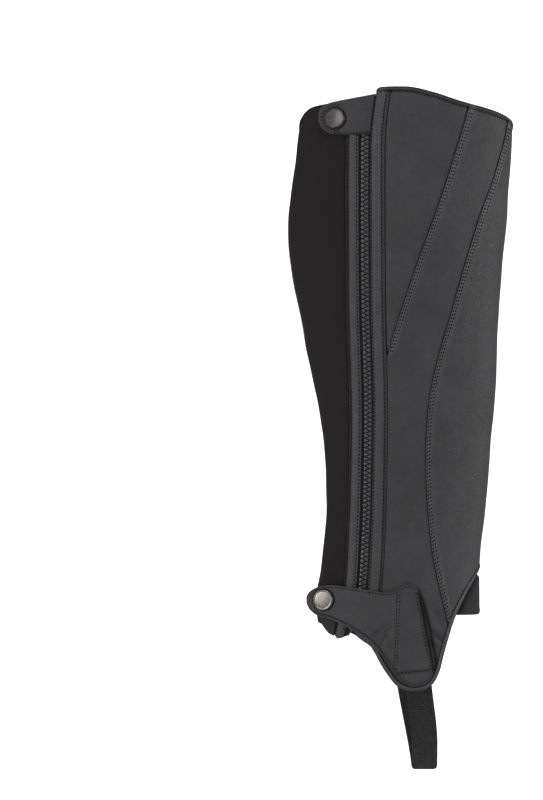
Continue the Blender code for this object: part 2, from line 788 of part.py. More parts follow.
def facing_sheet(depth_at, grid, thickness):
    """The outer and inner points of a sheet given by its depth at each (x, height)."""
    x, height = grid[..., 0], grid[..., 1]
    slope_x = depth_at(x + 0.5, height) - depth_at(x - 0.5, height)
    slope_z = depth_at(x, height + 0.5) - depth_at(x, height - 0.5)
    outer = np.stack([x, -depth_at(x, height), height], axis=-1)
    normal = np.stack([-slope_x, -np.ones_like(x), -slope_z], axis=-1)
    normal /= np.linalg.norm(normal, axis=-1, keepdims=True)
    return outer, outer - normal * thickness


def build_tabs(collection):
    """The top tab, the ankle strap and the leather tab under the strap's end."""
    places, lift = top_tab_points(outlined(TOP_TAB, 4))
    add_wall_piece(collection, "top_tab", places, lift, TOP_TAB_THICK, "leather")
    strap = facing_sheet(strap_depth, outlined(ANKLE_STRAP, 7), STRAP_THICK)
    add_sheet(collection, "ankle_strap", *strap, "leather")
    base = facing_sheet(base_depth, outlined(SNAP_BASE, 4), SNAP_BASE_THICK)
    add_sheet(collection, "snap_base", *base, "leather")


def cap_profile():
    """A domed cap with a low rim, from its axis on top to its axis underneath."""
    return [
        (0, CAP_THICK),
        (CAP_RADIUS - 1.5, CAP_THICK - 0.35),
        (CAP_RADIUS - 0.9, CAP_THICK),
        (CAP_RADIUS - 0.2, CAP_THICK - 0.3),
        (CAP_RADIUS, 0.4),
        (CAP_RADIUS - 0.5, 0),
        (0, 0),
    ]


def build_snaps(collection):
    """The two caps and the studs under them."""
    x, height = TOP_SNAP
    places, lift = top_tab_points(np.array([[x, height], [x + 1, height], [x, height + 1]]))
    tab = on_wall(places, lift)
    tab_out = np.cross(tab[1] - tab[0], tab[2] - tab[0])
    x, height = ANKLE_SNAP
    spots = np.array([[x, height], [x + 1, height], [x, height + 1]])
    strap = facing_sheet(strap_depth, spots, STRAP_THICK)[0]
    strap_out = np.cross(strap[1] - strap[0], strap[2] - strap[0])
    snaps = {
        "top": (tab[0], tab_out, TOP_TAB_THICK, lift[0] - TOP_TAB_THICK - TOP_STUD_CLEAR),
        "ankle": (strap[0], strap_out, STRAP_THICK, STUD_ROOM - ANKLE_STUD_CLEAR),
    }
    for name, (point, out, thickness, stud) in snaps.items():
        out = out / np.linalg.norm(out)
        add_turned(collection, name + "_snap_cap", cap_profile(), point + out * CAP_ABOVE, out, "metal")
        stud_profile = [(0, stud), (STUD_RADIUS, stud), (STUD_RADIUS, 0), (0, 0)]
        foot = point - out * (thickness + STUD_BELOW + stud)
        add_turned(collection, name + "_snap_stud", stud_profile, foot, out, "metal")


if __name__ == "__main__":
    clear_scene()
    parts = bpy.data.collections.new("half_chap")
    bpy.context.scene.collection.children.link(parts)
    build_panels(parts)
    build_bindings(parts)
    build_zip(parts)
    build_instep_tab(parts)
    build_stirrup(parts)
    build_tabs(parts)
    build_snaps(parts)
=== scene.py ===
"""Half chap for the right leg, dressed: leather panels and strips, stretch cloth, mesh lining, zip, straps and snaps.

The leg runs along +Z, the shin is towards +X and the outer side, with the zip, faces -Y. Sizes are millimetres
until a mesh is made. A place on the leg wall is two numbers: the turn round the leg in degrees (0 at the shin,
90 on the outer side, -90 on the inner side, -180 at the back, and on to -250 behind the zip) and the height.
Right, as seen from outside, is where the turn grows less.
"""

from __future__ import annotations

import logging
from dataclasses import dataclass, field, replace
from enum import Enum
from typing import Any, Callable, Sequence

import bpy
import numpy as np
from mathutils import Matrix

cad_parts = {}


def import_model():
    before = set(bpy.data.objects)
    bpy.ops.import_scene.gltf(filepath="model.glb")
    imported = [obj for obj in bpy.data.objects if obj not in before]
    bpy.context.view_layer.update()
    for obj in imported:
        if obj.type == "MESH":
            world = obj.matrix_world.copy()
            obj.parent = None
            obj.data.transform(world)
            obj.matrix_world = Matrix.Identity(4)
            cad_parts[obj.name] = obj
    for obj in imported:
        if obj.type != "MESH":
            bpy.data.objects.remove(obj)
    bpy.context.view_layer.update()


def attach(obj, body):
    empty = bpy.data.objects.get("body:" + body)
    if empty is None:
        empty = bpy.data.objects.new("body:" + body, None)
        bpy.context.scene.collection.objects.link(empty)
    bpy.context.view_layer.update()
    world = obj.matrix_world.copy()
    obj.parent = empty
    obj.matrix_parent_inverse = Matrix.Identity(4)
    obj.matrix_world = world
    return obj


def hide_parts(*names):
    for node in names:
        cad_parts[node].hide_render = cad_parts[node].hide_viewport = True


log = logging.getLogger("half_chap")

MM = 0.001
SEED = 11
Array = np.ndarray
Tree = bpy.types.NodeTree


class Face(Enum):
    """The sides of the leg on which a place is given by its X."""

    OUTER = "outer"
    INNER = "inner"
    REAR = "rear"  # the outer side behind the zip


class Held(Enum):
    """How a sheet of cloth is held."""

    HUNG = "hung"
    LAID = "laid"
    FOLDED = "folded"
    STRETCHED = "stretched"


# ------------------------------ curves and lines
def smooth(at: Any, places: Array, values: Array) -> Array:
    """A smooth curve through a table: cubic pieces whose slopes are the mean of their neighbours' slopes.

    Args:
        at: where the curve is read.
        places: the table's places, in any order.
        values: its value at each place.

    Returns:
        The curve's value at each place read.
    """
    order = np.argsort(places)
    xs, ys = places[order], values[order]
    steps = np.diff(ys) / np.diff(xs)
    before, after = np.diff(xs)[:-1], np.diff(xs)[1:]
    between = (steps[:-1] * after + steps[1:] * before) / (before + after)
    slopes = np.concatenate([steps[:1], between, steps[-1:]])
    at = np.asarray(at, float)
    i = np.clip(np.searchsorted(xs, at) - 1, 0, len(xs) - 2)
    width = xs[i + 1] - xs[i]
    t = np.clip((at - xs[i]) / width, 0, 1)
    rise = (1 + 2 * t) * (1 - t) ** 2 * ys[i] + t**2 * (3 - 2 * t) * ys[i + 1]
    return rise + width * (t * (1 - t) ** 2 * slopes[i] + t**2 * (t - 1) * slopes[i + 1])


@dataclass(frozen=True)
class Curve:
    """A smooth curve through pairs of a place and its value."""

    pairs: tuple[tuple[float, float], ...]

    def at(self, places: Any) -> Array:
        """Its value at each place."""
        return smooth(places, *np.array(self.pairs, float).T)


def ease(share: Any) -> Array:
    """From 0 to 1 as 3t² - 2t³, level at both ends."""
    share = np.clip(share, 0, 1)
    return share**2 * (3 - 2 * share)


def bell(distance: Array, width: float, power: int = 2) -> Array:
    """From 1 at no distance down to 0, as e to the power of -(distance / width)², or a higher, flatter power."""
    return np.exp(-((distance / width) ** power))


def rolled(distance: Array, radius: float) -> Array:
    """How far a rounded edge has dropped, as a quarter circle of that radius, by the distance from it."""
    inside = radius - np.clip(distance, 0, radius)
    return radius - np.sqrt(np.maximum(radius**2 - inside**2, 0))


def spread(total: Array, first: Array, last: Array, cell: float) -> Array:
    """Shares of several lengths: fixed steps at both ends, squeezed on a short one, and even cells between.

    Args:
        total: the lengths.
        first: distances from the start.
        last: distances from the end.
        cell: the cell of the longest one's middle.

    Returns:
        A row of shares, from 0 to 1, for each length.
    """
    total = np.atleast_1d(total)
    squeeze = np.minimum(1, 0.9 * total / (first[-1] + last[-1]))
    count = max(2, int(np.ceil((total.max() - first[-1] - last[-1]) / cell)))
    start, end = squeeze * first[-1], total - squeeze * last[-1]
    between = start[:, None] + (end - start)[:, None] * np.linspace(0, 1, count + 1)[None, 1:-1]
    tail = total[:, None] - squeeze[:, None] * last[::-1]
    return np.concatenate([squeeze[:, None] * first, between, tail], axis=1) / total[:, None]


def units(vectors: Array) -> Array:
    """The vectors at length one."""
    return vectors / np.linalg.norm(vectors, axis=-1, keepdims=True)


def merge(*parts: Any) -> Array:
    """Coordinates as points or pairs, each coordinate a number or an array that fits the others."""
    return np.stack(np.broadcast_arrays(*parts), axis=-1)


def upright(vectors: Array, axis: Array) -> Array:
    """What is left of vectors at right angles to an axis, at length one."""
    return units(vectors - (vectors * axis).sum(axis=-1, keepdims=True) * axis)


def travelled(points: Array, axis: int = 0) -> Array:
    """The distance travelled along a line of points, or along each line of a grid.

    Args:
        points: places, with their coordinates last.
        axis: the way that the line runs.

    Returns:
        The distance at each point, from 0.
    """
    spans = np.linalg.norm(np.diff(points, axis=axis), axis=-1)
    start = np.zeros_like(np.take(spans, [0], axis=axis))
    return np.concatenate([start, np.cumsum(spans, axis=axis)], axis=axis)


def read(at: Array, marks: Array, line: Array) -> Array:
    """A line's places at marks between its own points' marks."""
    return np.stack([np.interp(at, marks, column) for column in line.T], axis=-1)


# ------------------------------ the leg wall
@dataclass(frozen=True)
class Crease:
    """A soft fold of the cloth, a trough, or a ridge where its depth is negative. Sizes are in millimetres."""

    face: Face
    x: float
    height: float
    angle: float  # degrees, rising to the right seen from outside
    length: float
    width: float
    depth: float
    bend: float = 0.0  # how far its middle bows


@dataclass
class LegWall:
    """The outer face of the leather round the leg, as sections at several heights.

    A section is a superellipse: the point at a turn t is (middle + half length * cos t * r, -half width * sin t * r),
    with r = (|cos t|^p + |sin t|^p)^(-1/p).
    """

    rings: tuple[tuple[float, ...], ...]  # height, X at the back, X at the shin, half width, power p
    creases: tuple[Crease, ...]
    waves: int = 16
    longest_wave: float = 95.0
    shortest_wave: float = 22.0
    wave_slope: float = 0.0016  # each wave's height over its length
    around_scale: float = 1.05  # millimetres a degree, for the waves

    def __post_init__(self) -> None:
        """Draws the slow waves of the cloth from a seeded generator."""
        self.columns = np.array(self.rings, float).T
        draw = np.random.default_rng(SEED)
        lengths = np.geomspace(self.shortest_wave, self.longest_wave, self.waves)
        angles = draw.uniform(-0.6, 0.6, self.waves) + np.pi / 2 * (draw.random(self.waves) < 0.55)
        self.wave_ways = 2 * np.pi / lengths[:, None] * merge(np.cos(angles), np.sin(angles))
        self.wave_starts = draw.uniform(0, 2 * np.pi, self.waves)
        self.wave_heights = lengths * self.wave_slope

    def section(self, height: Array) -> tuple[Array, Array, Array, Array]:
        """The middle, half length, half width and power of the section at each height."""
        back, front, depth, power = (smooth(height, self.columns[0], column) for column in self.columns[1:])
        return (back + front) / 2, (front - back) / 2, depth, power

    def place(self, face: Face, x: Any, height: Any) -> Array:
        """The turn of the place at X on a face."""
        middle, half, _, power = self.section(height)
        along = np.clip((x - middle) / half, -1, 1)
        turn = np.degrees(np.arctan2((1 - np.abs(along) ** power) ** (1 / power), along))
        return {Face.OUTER: turn, Face.INNER: -turn, Face.REAR: turn - 360}[face]

    def point(self, turn: Array, height: Array) -> Array:
        """Points on the wall, without its creases."""
        middle, half, depth, power = self.section(height)
        c, s = np.cos(np.radians(turn)), np.sin(np.radians(turn))
        reach = (np.abs(c) ** power + np.abs(s) ** power) ** (-1 / power)
        return merge(middle + half * c * reach, -depth * s * reach, height)

    def normal(self, turn: Array, height: Array) -> Array:
        """The wall's outward direction: across it, crossed with up it."""
        across = self.point(turn + 0.2, height) - self.point(turn - 0.2, height)
        upward = self.point(turn, height + 0.2) - self.point(turn, height - 0.2)
        return units(np.cross(upward, across))

    def scale(self, turn: Array, height: Array) -> Array:
        """How many millimetres a degree of turn is."""
        return np.linalg.norm(self.point(turn + 0.5, height) - self.point(turn - 0.5, height), axis=-1)

    def lay(self, turn: Array, height: Array) -> Array:
        """How far the cloth lies out from the plain wall: slow waves, less each crease's bell-shaped trough."""
        flat = merge(-turn * self.around_scale, height)
        out = np.sin(flat @ self.wave_ways.T + self.wave_starts) @ self.wave_heights
        for fold in self.creases:
            centre = self.place(fold.face, fold.x, fold.height)
            right, up = (centre - turn) * self.scale(centre, fold.height), height - fold.height
            c, s = np.cos(np.radians(fold.angle)), np.sin(np.radians(fold.angle))
            along, across = right * c + up * s, up * c - right * s
            across = across - fold.bend * (1 - (2 * along / fold.length) ** 2)
            out = out - fold.depth * bell(across, fold.width) * bell(along, fold.length / 2, 4)
        return out

    def offset(self, places: Array, out: Any) -> Array:
        """Points at a distance out from the cloth's lay.

        Args:
            places: (turn, height) pairs.
            out: the distance out, in millimetres.

        Returns:
            The points.
        """
        turn, height = places[..., 0], places[..., 1]
        far = np.broadcast_to(out, turn.shape) + self.lay(turn, height)
        return self.point(turn, height) + self.normal(turn, height) * far[..., None]

    def depth(self, x: Array, height: Array, out: Any) -> Array:
        """How far the outer side, moved out, lies from the leg's middle plane at X and a height."""
        turn = self.place(Face.OUTER, x, height)
        return -(self.point(turn, height) + self.normal(turn, height) * np.asarray(out)[..., None])[..., 1]

    def to_right(self, turn: Array, height: Array, distance: float, steps: int = 4) -> Array:
        """A turn moved round the wall by a distance, to the right seen from outside."""
        for _ in range(steps):
            turn = turn - distance / steps / self.scale(turn, height)
        return turn

    def edge(self, rows: dict[Face, list[tuple[float, float]]], step: float = 0.5) -> Array:
        """A dense line of (turn, height) along an edge, from each face's X and heights."""
        places = [(self.place(face, x, height), height) for face, row in rows.items() for x, height in row]
        places = np.array(places, float)
        gone = travelled(places)
        at = np.linspace(0, gone[-1], int(gone[-1] / step) + 1)
        return merge(*(smooth(at, gone, column) for column in places.T))

    def lowered(self, line: Array, distance: float) -> Array:
        """A line moved to its right seen from outside: down, where it runs to the right."""
        scale = self.scale(line[:, 0], line[:, 1])
        run, rise = -scale * np.gradient(line[:, 0]), np.gradient(line[:, 1])
        length = np.hypot(run, rise)
        return line - merge(rise / length * distance / scale, run / length * distance)

    def distance(self, places: Array, line: Array) -> Array:
        """How far places are from a dense line, over the wall: the nearest of every third of its points."""
        scale = self.scale(places[..., 0], places[..., 1])
        turns, heights = line[::3].T
        run = (places[..., :1] - turns) * scale[..., None]
        return np.sqrt((run**2 + (places[..., 1:] - heights) ** 2).min(axis=-1))

    def between(self, line: Array, left: "Seam", right: "Seam", count: int) -> Array:
        """The part of a line from one seam to another, evenly spaced.

        Args:
            line: a dense line that crosses both seams.
            left: the seam where the part starts.
            right: the seam where it ends.
            count: how many points it gets.

        Returns:
            The part's (turn, height) pairs.
        """
        ends = []
        for seam in (left, right):
            side = line[:, 0] - seam.turn(line[:, 1])
            i = np.nonzero(np.sign(side[:-1]) != np.sign(side[1:]))[0][0]
            ends.append(i + side[i] / (side[i] - side[i + 1]))
        index = np.concatenate([[ends[0]], np.arange(np.ceil(ends[0] + 1e-6), ends[1]), [ends[1]]])
        part = read(index, np.arange(len(line)), line)
        gone = travelled(self.point(*part.T))
        return read(np.linspace(0, gone[-1], count), gone, part)


# Soft folds: outside, at the ankle where the leather bends into the flap and below the top; inside, one level crease
# on the flap and soft ones at the shin and the calf; behind the zip, two in the stretch cloth.
CREASES = {
    Face.OUTER: [
        (28, -288.5, -44, 15, 1.5, 1.7, 1.0), (27, -292, -44, 14, 1.5, -0.9), (29.5, -284.5, -44, 15, 1.6, -0.6),
        (24.5, -271, -52, 20, 2.6, 0.6, 1.5), (20.5, -287, -60, 24, 2.4, 0.6, -1.0), (39, -243, 48, 34, 3.2, 0.55, 1.0),
        (48, -228, 40, 30, 4.0, 0.5), (30, -214, 20, 36, 5.0, 0.45, 2.0), (8, -232, 62, 40, 5.0, 0.45, -2.0),
        (-4, -196, 84, 60, 4.0, 0.4), (52, -186, 64, 46, 5.0, 0.5, 1.0), (2, 81, -12, 24, 3.0, -0.45),
        (12, 76, -28, 26, 3.5, 0.4, 1.0), (55, 68, 52, 18, 3.0, -0.55), (0, 52, 70, 56, 8.0, 0.45),
        (44, 74, 58, 30, 4.0, 0.4), (62, 28, 72, 70, 6.0, 0.5, 2.0), (54, -62, 80, 80, 6.0, 0.45, -2.0),
    ],
    Face.INNER: [
        (14, -296, 6, 34, 2.6, 0.8, 1.2), (22, -268, 30, 30, 4.0, 0.5), (-22, -262, -24, 34, 4.0, 0.5, -1.5),
        (8, -222, -8, 46, 6.0, 0.5, 2.0), (44, -206, -40, 34, 4.0, 0.55), (-24, -160, 74, 70, 6.0, 0.5),
        (30, 40, 100, 70, 8.0, 0.5), (-34, 34, 70, 50, 6.0, 0.5, 2.0), (60, 12, 96, 50, 5.0, 0.5),
    ],
    Face.REAR: [(-52, -150, 80, 60, 7.0, 0.5), (-46, -256, -20, 26, 4.0, 0.5)],
}
WALL = LegWall(
    rings=(
        (104, -63.0, 83.6, 35.5, 2.3), (66, -68.6, 81.2, 38.0, 2.3), (30, -73.6, 78.8, 40.0, 2.3),
        (0, -75.6, 76.8, 40.5, 2.3), (-40, -71.9, 73.1, 39.5, 2.3), (-80, -63.8, 70.8, 37.5, 2.3),
        (-120, -56.4, 69.0, 35.0, 2.3), (-165, -50.4, 65.2, 32.8, 2.35), (-200, -49.2, 61.6, 32.2, 2.45),
        (-240, -53.4, 58.1, 32.6, 2.6), (-262, -56.4, 57.7, 32.9, 2.75), (-277, -55.4, 57.4, 33.0, 2.8),
        (-292, -52.0, 57.6, 32.9, 2.8), (-340, -50.0, 59.0, 31.8, 2.8),
    ),
    creases=tuple(Crease(face, *row) for face, rows in CREASES.items() for row in rows),
)


# ------------------------------ seams
@dataclass(frozen=True)
class Seam:
    """A line down the wall: its X by its height on one face, moved to the right by a distance."""

    face: Face
    line: Curve
    right: float = 0.0
    from_back: bool = False  # its X is counted from the wall's back

    def turn(self, height: Any) -> Array:
        """The seam's turn at each height."""
        x = self.line.at(height)
        if self.from_back:
            middle, half, _, _ = WALL.section(height)
            x = x + middle - half
        return WALL.to_right(WALL.place(self.face, x, height), height, self.right)

    def moved(self, right: float, face: Face | None = None) -> "Seam":
        """The same seam moved by a distance to the right, on its own face or another."""
        return replace(self, face=face or self.face, right=self.right + right)


@dataclass(frozen=True)
class JoinedSeam(Seam):
    """The right-hand one of two seams that meet: the strip's side below and the diagonal above, which never moves."""

    other: Seam | None = None

    def turn(self, height: Any) -> Array:
        """The lesser turn of the two, which is further to the right."""
        return np.minimum(super().turn(height), self.other.turn(height))


ZIP_LINE = Seam(Face.OUTER, Curve((
    (104, -17.8), (92, -19.0), (80, -20.8), (66, -22.3), (40, -22.9), (0, -22.8), (-60, -22.4), (-125, -20.7),
    (-170, -21.1), (-205, -22.0), (-240, -23.6), (-262, -26.0), (-277, -30.4), (-289, -33.8), (-300, -36.0),
)))
DIAGONAL_SEAM = Seam(Face.OUTER, Curve((
    (104, 55.6), (80, 49.4), (50, 40.4), (12, 28.1), (-25, 14.6), (-72, -1.1), (-96, -8.4), (-130, -18),
)))
OUTER_SHIN_SEAM = Seam(Face.OUTER, Curve((
    (100, 81.6), (70, 77.4), (35, 68.3), (6, 57.6), (-22, 48.8), (-58, 38.8), (-87, 30.2), (-116, 23.4),
    (-150, 20.2), (-170, 20.0), (-200, 21.4), (-233, 25.2), (-273, 34.0), (-300, 40.0),
)))
INNER_SHIN_SEAM = Seam(Face.INNER, Curve((
    (100, 50.5), (70, 54.5), (26, 61.5), (3, 65.6), (-25, 68.2), (-46, 68.6), (-74, 65.2), (-101, 58.6),
    (-128, 51.0), (-153, 44.2), (-182, 38.0), (-206, 34.2), (-230, 30.8), (-255, 28.0), (-275, 28.6), (-300, 33.0),
)))
# The seam at the inner back, as the distance in from the wall's back.
BACK_SEAM = Seam(Face.INNER, Curve((
    (100, 20), (72, 14.6), (43, 9.0), (20, 5.8), (0, 3.2), (-21, 1.8), (-49, 0.8), (-69, 1.0), (-84, 2.4),
    (-100, 5.0), (-122, 9.4), (-141, 13.6), (-160, 17.2), (-186, 18.8), (-206, 18.0), (-228, 15.4),
    (-251, 12.2), (-285, 10.6), (-310, 10.0),
)), from_back=True)
TOP_EDGE = WALL.edge({
    Face.OUTER: [
        (-26, 96.0), (-17, 96.5), (-4, 97.2), (10, 96.9), (24.5, 93.6), (45, 87.0), (65, 81.6), (75, 78.0), (90, 71.6),
    ],
    Face.INNER: [(74, 71.4), (55, 72.0), (25, 71.8), (-10, 71.4), (-38, 72.0), (-57, 73.2), (-90, 72.6)],
    Face.REAR: [(-66.8, 74.4), (-63.8, 78.8), (-60.0, 82.0), (-54.0, 83.8), (-45, 85.2), (-34, 87.0), (-12, 90.4)],
})
BOTTOM_EDGE = WALL.edge({
    Face.OUTER: [
        (-44, -287.0), (-31, -287.2), (-24, -289.6), (-17.0, -298.4), (-12.6, -306.4), (-8.1, -313.6), (0.0, -323.2),
        (8.6, -326.6), (17.2, -326.2), (25.6, -321.2), (29.8, -313.6), (32.8, -302.6), (36.8, -288.4), (42.8, -271.4),
        (50.2, -256.8), (70, -241.0),
    ],
    Face.INNER: [
        (54.6, -247.6), (45.0, -260.0), (37.0, -274.6), (32.4, -289.0), (29.2, -303.0), (25.8, -314.4), (20.4, -321.8),
        (13.0, -325.4), (6.0, -324.6), (0.4, -320.6), (-6.2, -311.0), (-14.0, -300.4), (-20.0, -295.2),
        (-25.5, -291.6), (-30.5, -287.8), (-38.0, -285.6), (-47.5, -282.2), (-80, -278.0),
    ],
    Face.REAR: [(-50, -280.6), (-44.5, -286.2), (-40.5, -289.4), (-37, -288.0), (-30, -286.8), (-18, -287.0)],
})


def level_line(height: float) -> Array:
    """A level line round the whole wall, from the zip's front edge to its back edge."""
    turns = np.linspace(125, -255, 761)
    return merge(turns, height)


# ------------------------------ finishes
def linear(colour: str) -> tuple[float, float, float, float]:
    """An sRGB hex colour as the linear colour that a shader takes."""
    parts = np.array([int(colour[i : i + 2], 16) / 255 for i in (1, 3, 5)])
    parts = np.where(parts <= 0.04045, parts / 12.92, ((parts + 0.055) / 1.055) ** 2.4)
    return (*parts.tolist(), 1.0)


def feed(node: Any, inputs: dict[Any, Any]) -> None:
    """Sets a node's inputs, by name or number, to a value, an output, or another node's first output."""
    for name, value in inputs.items():
        value = value.outputs[0] if isinstance(value, bpy.types.Node) else value
        if isinstance(value, bpy.types.NodeSocket):
            node.id_data.links.new(value, node.inputs[name])
        else:
            node.inputs[name].default_value = value


def add_node(tree: Tree, kind: str, inputs: dict[Any, Any] | None = None, **settings: Any) -> Any:
    """Adds a node with its settings and links.

    Args:
        tree: the node tree.
        kind: the node's type, without its leading ShaderNode.
        inputs: what its inputs are fed.
        settings: the node's own properties.

    Returns:
        The node.
    """
    node = tree.nodes.new("ShaderNode" + kind)
    for name, value in settings.items():
        setattr(node, name, value)
    feed(node, inputs or {})
    return node


def per_mm(size: float) -> float:
    """The scale of a pattern on Object coordinates whose repeat is that many millimetres."""
    return 1 / (size * MM)


@dataclass(frozen=True)
class Finish:
    """A material: its name, its two colours, and how rough it is."""

    name: str
    colour: str
    second: str
    roughness: float

    def made(self) -> bpy.types.Material:
        """The material, made the first time that it is asked for."""
        found = bpy.data.materials.get(self.name)
        if found:
            return found
        material = bpy.data.materials.new(self.name)
        material.use_nodes = True
        tree = material.node_tree
        shader = tree.nodes["Principled BSDF"]
        feed(shader, {"Base Color": linear(self.colour), "Roughness": self.roughness})
        self.wire(tree, shader, add_node(tree, "TexCoord"))
        return material

    def wire(self, tree: Tree, shader: Any, coords: Any) -> None:
        """Adds the finish's own nodes."""

    def between(self, tree: Tree, share: Any) -> Any:
        """The colour between the finish's two colours, by a share from 0 to 1."""
        inputs = {"Factor": share, 6: linear(self.colour), 7: linear(self.second)}
        return add_node(tree, "Mix", inputs, data_type="RGBA").outputs[2]

    def rough(self, tree: Tree, noise: Any, less: float, more: float) -> Any:
        """The roughness by a noise, from a little less to a little more than the finish's own."""
        inputs = {0: noise, 1: 0.3, 2: 0.7, 3: self.roughness - less, 4: self.roughness + more}
        return add_node(tree, "MapRange", inputs)

    def wave(self, tree: Tree, place: Any, size: float) -> Any:
        """The sine of a place on the cloth, with that many millimetres from crest to crest."""
        turned = add_node(tree, "Math", {0: place, 1: 2 * np.pi / size}, operation="MULTIPLY")
        return add_node(tree, "Math", {0: turned}, operation="SINE")


@dataclass(frozen=True)
class PigmentedLeather(Finish):
    """Cowhide, chrome tanned and pigmented, with its own fine grain pressed flat: matt with a soft sheen.

    The grain is small cells with creases between them, and slow mottling from the hide.
    """

    grain: float = 1.4  # mm; real grain is about 0.6, drawn coarser so that it shows
    grain_height: float = 0.26  # mm
    wander: float = 3.0  # mm, how slowly the cells' edges wander, and how far
    wander_far: float = 1.1
    pebble: float = 4.0  # mm, the slower unevenness of the grain
    mottle: float = 26.0  # mm
    painted_seam_shade: float = 0.85  # how much of its colour it loses to painted shade deep in a seam, and gains under a painted highlight
    shine: float = 0.38  # how much shine it has
    # how much shine it loses to painted shade deep in a seam, and gains under a painted highlight
    painted_seam_dulling: float = 0.3

    def wire(self, tree: Tree, shader: Any, coords: Any) -> None:
        """Bump from grain cells and pores, colour and roughness from the mottling, colour a little darker in the
        grain's valleys, and painted shade and painted highlight from the pressed attribute.
        """
        place = coords.outputs["Object"]
        bent = add_node(tree, "TexNoise", {"Vector": place, "Scale": per_mm(self.wander), "Detail": 2.0})
        inputs = {0: bent.outputs["Color"], 1: (self.wander_far * MM,) * 3, 2: place}
        shifted = add_node(tree, "VectorMath", inputs, operation="MULTIPLY_ADD")
        inputs = {"Vector": shifted, "Scale": per_mm(self.grain)}
        cells = add_node(tree, "TexVoronoi", inputs, feature="DISTANCE_TO_EDGE")
        grain = add_node(tree, "MapRange", {0: cells, 1: 0.0, 2: 0.22}, interpolation_type="SMOOTHSTEP")
        pores = add_node(tree, "TexNoise", {"Vector": place, "Scale": per_mm(self.pebble), "Detail": 3.0})
        height = add_node(tree, "Math", {0: pores, 1: 3.0, 2: grain}, operation="MULTIPLY_ADD")
        bump = add_node(tree, "Bump", {"Strength": 0.55, "Distance": self.grain_height * MM, "Height": height})
        inputs = {"Vector": place, "Scale": per_mm(self.mottle), "Detail": 4.0, "Roughness": 0.6}
        mottle = add_node(tree, "TexNoise", inputs)
        share = add_node(tree, "MapRange", {0: mottle, 1: 0.3, 2: 0.7}, interpolation_type="SMOOTHSTEP")
        colour = self.between(tree, share)
        shade = add_node(tree, "MapRange", {0: height, 1: 1.1, 2: 3.0, 3: 0.86, 4: 1.06})
        # The pressed attribute is painted shade in seams, rows and grooves, and below 0 a painted highlight between
        # stitches: it darkens or lightens the colour and takes or adds shine.
        pressed = add_node(tree, "Attribute", attribute_name="pressed").outputs["Fac"]
        dark = add_node(tree, "Math", {0: pressed, 1: -self.painted_seam_shade, 2: 1.0}, operation="MULTIPLY_ADD")
        dulled = add_node(tree, "Math", {0: shade, 1: dark}, operation="MULTIPLY")
        dulled = add_node(tree, "VectorMath", {0: colour, "Scale": dulled}, operation="SCALE")
        rough = self.rough(tree, mottle, 0.04, 0.05)
        inputs = {0: pressed, 1: -self.painted_seam_dulling, 2: self.shine}
        shine = add_node(tree, "Math", inputs, operation="MULTIPLY_ADD")
        feed(shader, {"Normal": bump, "Base Color": dulled, "Roughness": rough, "Specular IOR Level": shine})


@dataclass(frozen=True)
class ThreadedCloth(Finish):
    """Cloth of threads that run both ways, drawn on its own UV map in millimetres.

    The height is the sine of the place across the ribs plus the sine along them, so ribs stand where both are high.
    """

    across: float = 0.9  # mm from rib to rib
    along: float = 0.9  # mm from thread to thread down a rib
    rib_share: float = 0.5  # how much of the height is the ribs'
    relief: float = 0.12  # mm
    fibre: float = 0.8  # mm across a fleck of loose fibres
    fleck: float = 0.9  # how high the flecks stand beside the threads
    slant: float = 0.0  # how far the threads lean, as a share of the ribs

    def wire(self, tree: Tree, shader: Any, coords: Any) -> None:
        """Bump and colour from the two sines and a noise of loose fibres."""
        parts = add_node(tree, "SeparateXYZ", {0: coords.outputs["UV"]}).outputs
        lean = add_node(tree, "Math", {0: parts[0], 1: self.slant, 2: parts[1]}, operation="MULTIPLY_ADD")
        ribs, threads = self.wave(tree, parts[0], self.across), self.wave(tree, lean, self.along)
        threads = add_node(tree, "Math", {0: threads, 1: 1 - self.rib_share}, operation="MULTIPLY")
        height = add_node(tree, "Math", {0: ribs, 1: self.rib_share, 2: threads}, operation="MULTIPLY_ADD")
        inputs = {"Vector": coords.outputs["Object"], "Scale": per_mm(self.fibre), "Detail": 2.0}
        fibres = add_node(tree, "TexNoise", inputs)
        both = add_node(tree, "Math", {0: fibres, 1: self.fleck, 2: height}, operation="MULTIPLY_ADD")
        bump = add_node(tree, "Bump", {"Strength": 0.6, "Distance": self.relief * MM, "Height": both})
        share = add_node(tree, "MapRange", {0: both, 1: self.fleck / 2 - 1.15, 2: self.fleck / 2 + 1.15})
        colour = self.between(tree, share)
        feed(shader, {"Normal": bump, "Base Color": colour, "Specular IOR Level": 0.2})


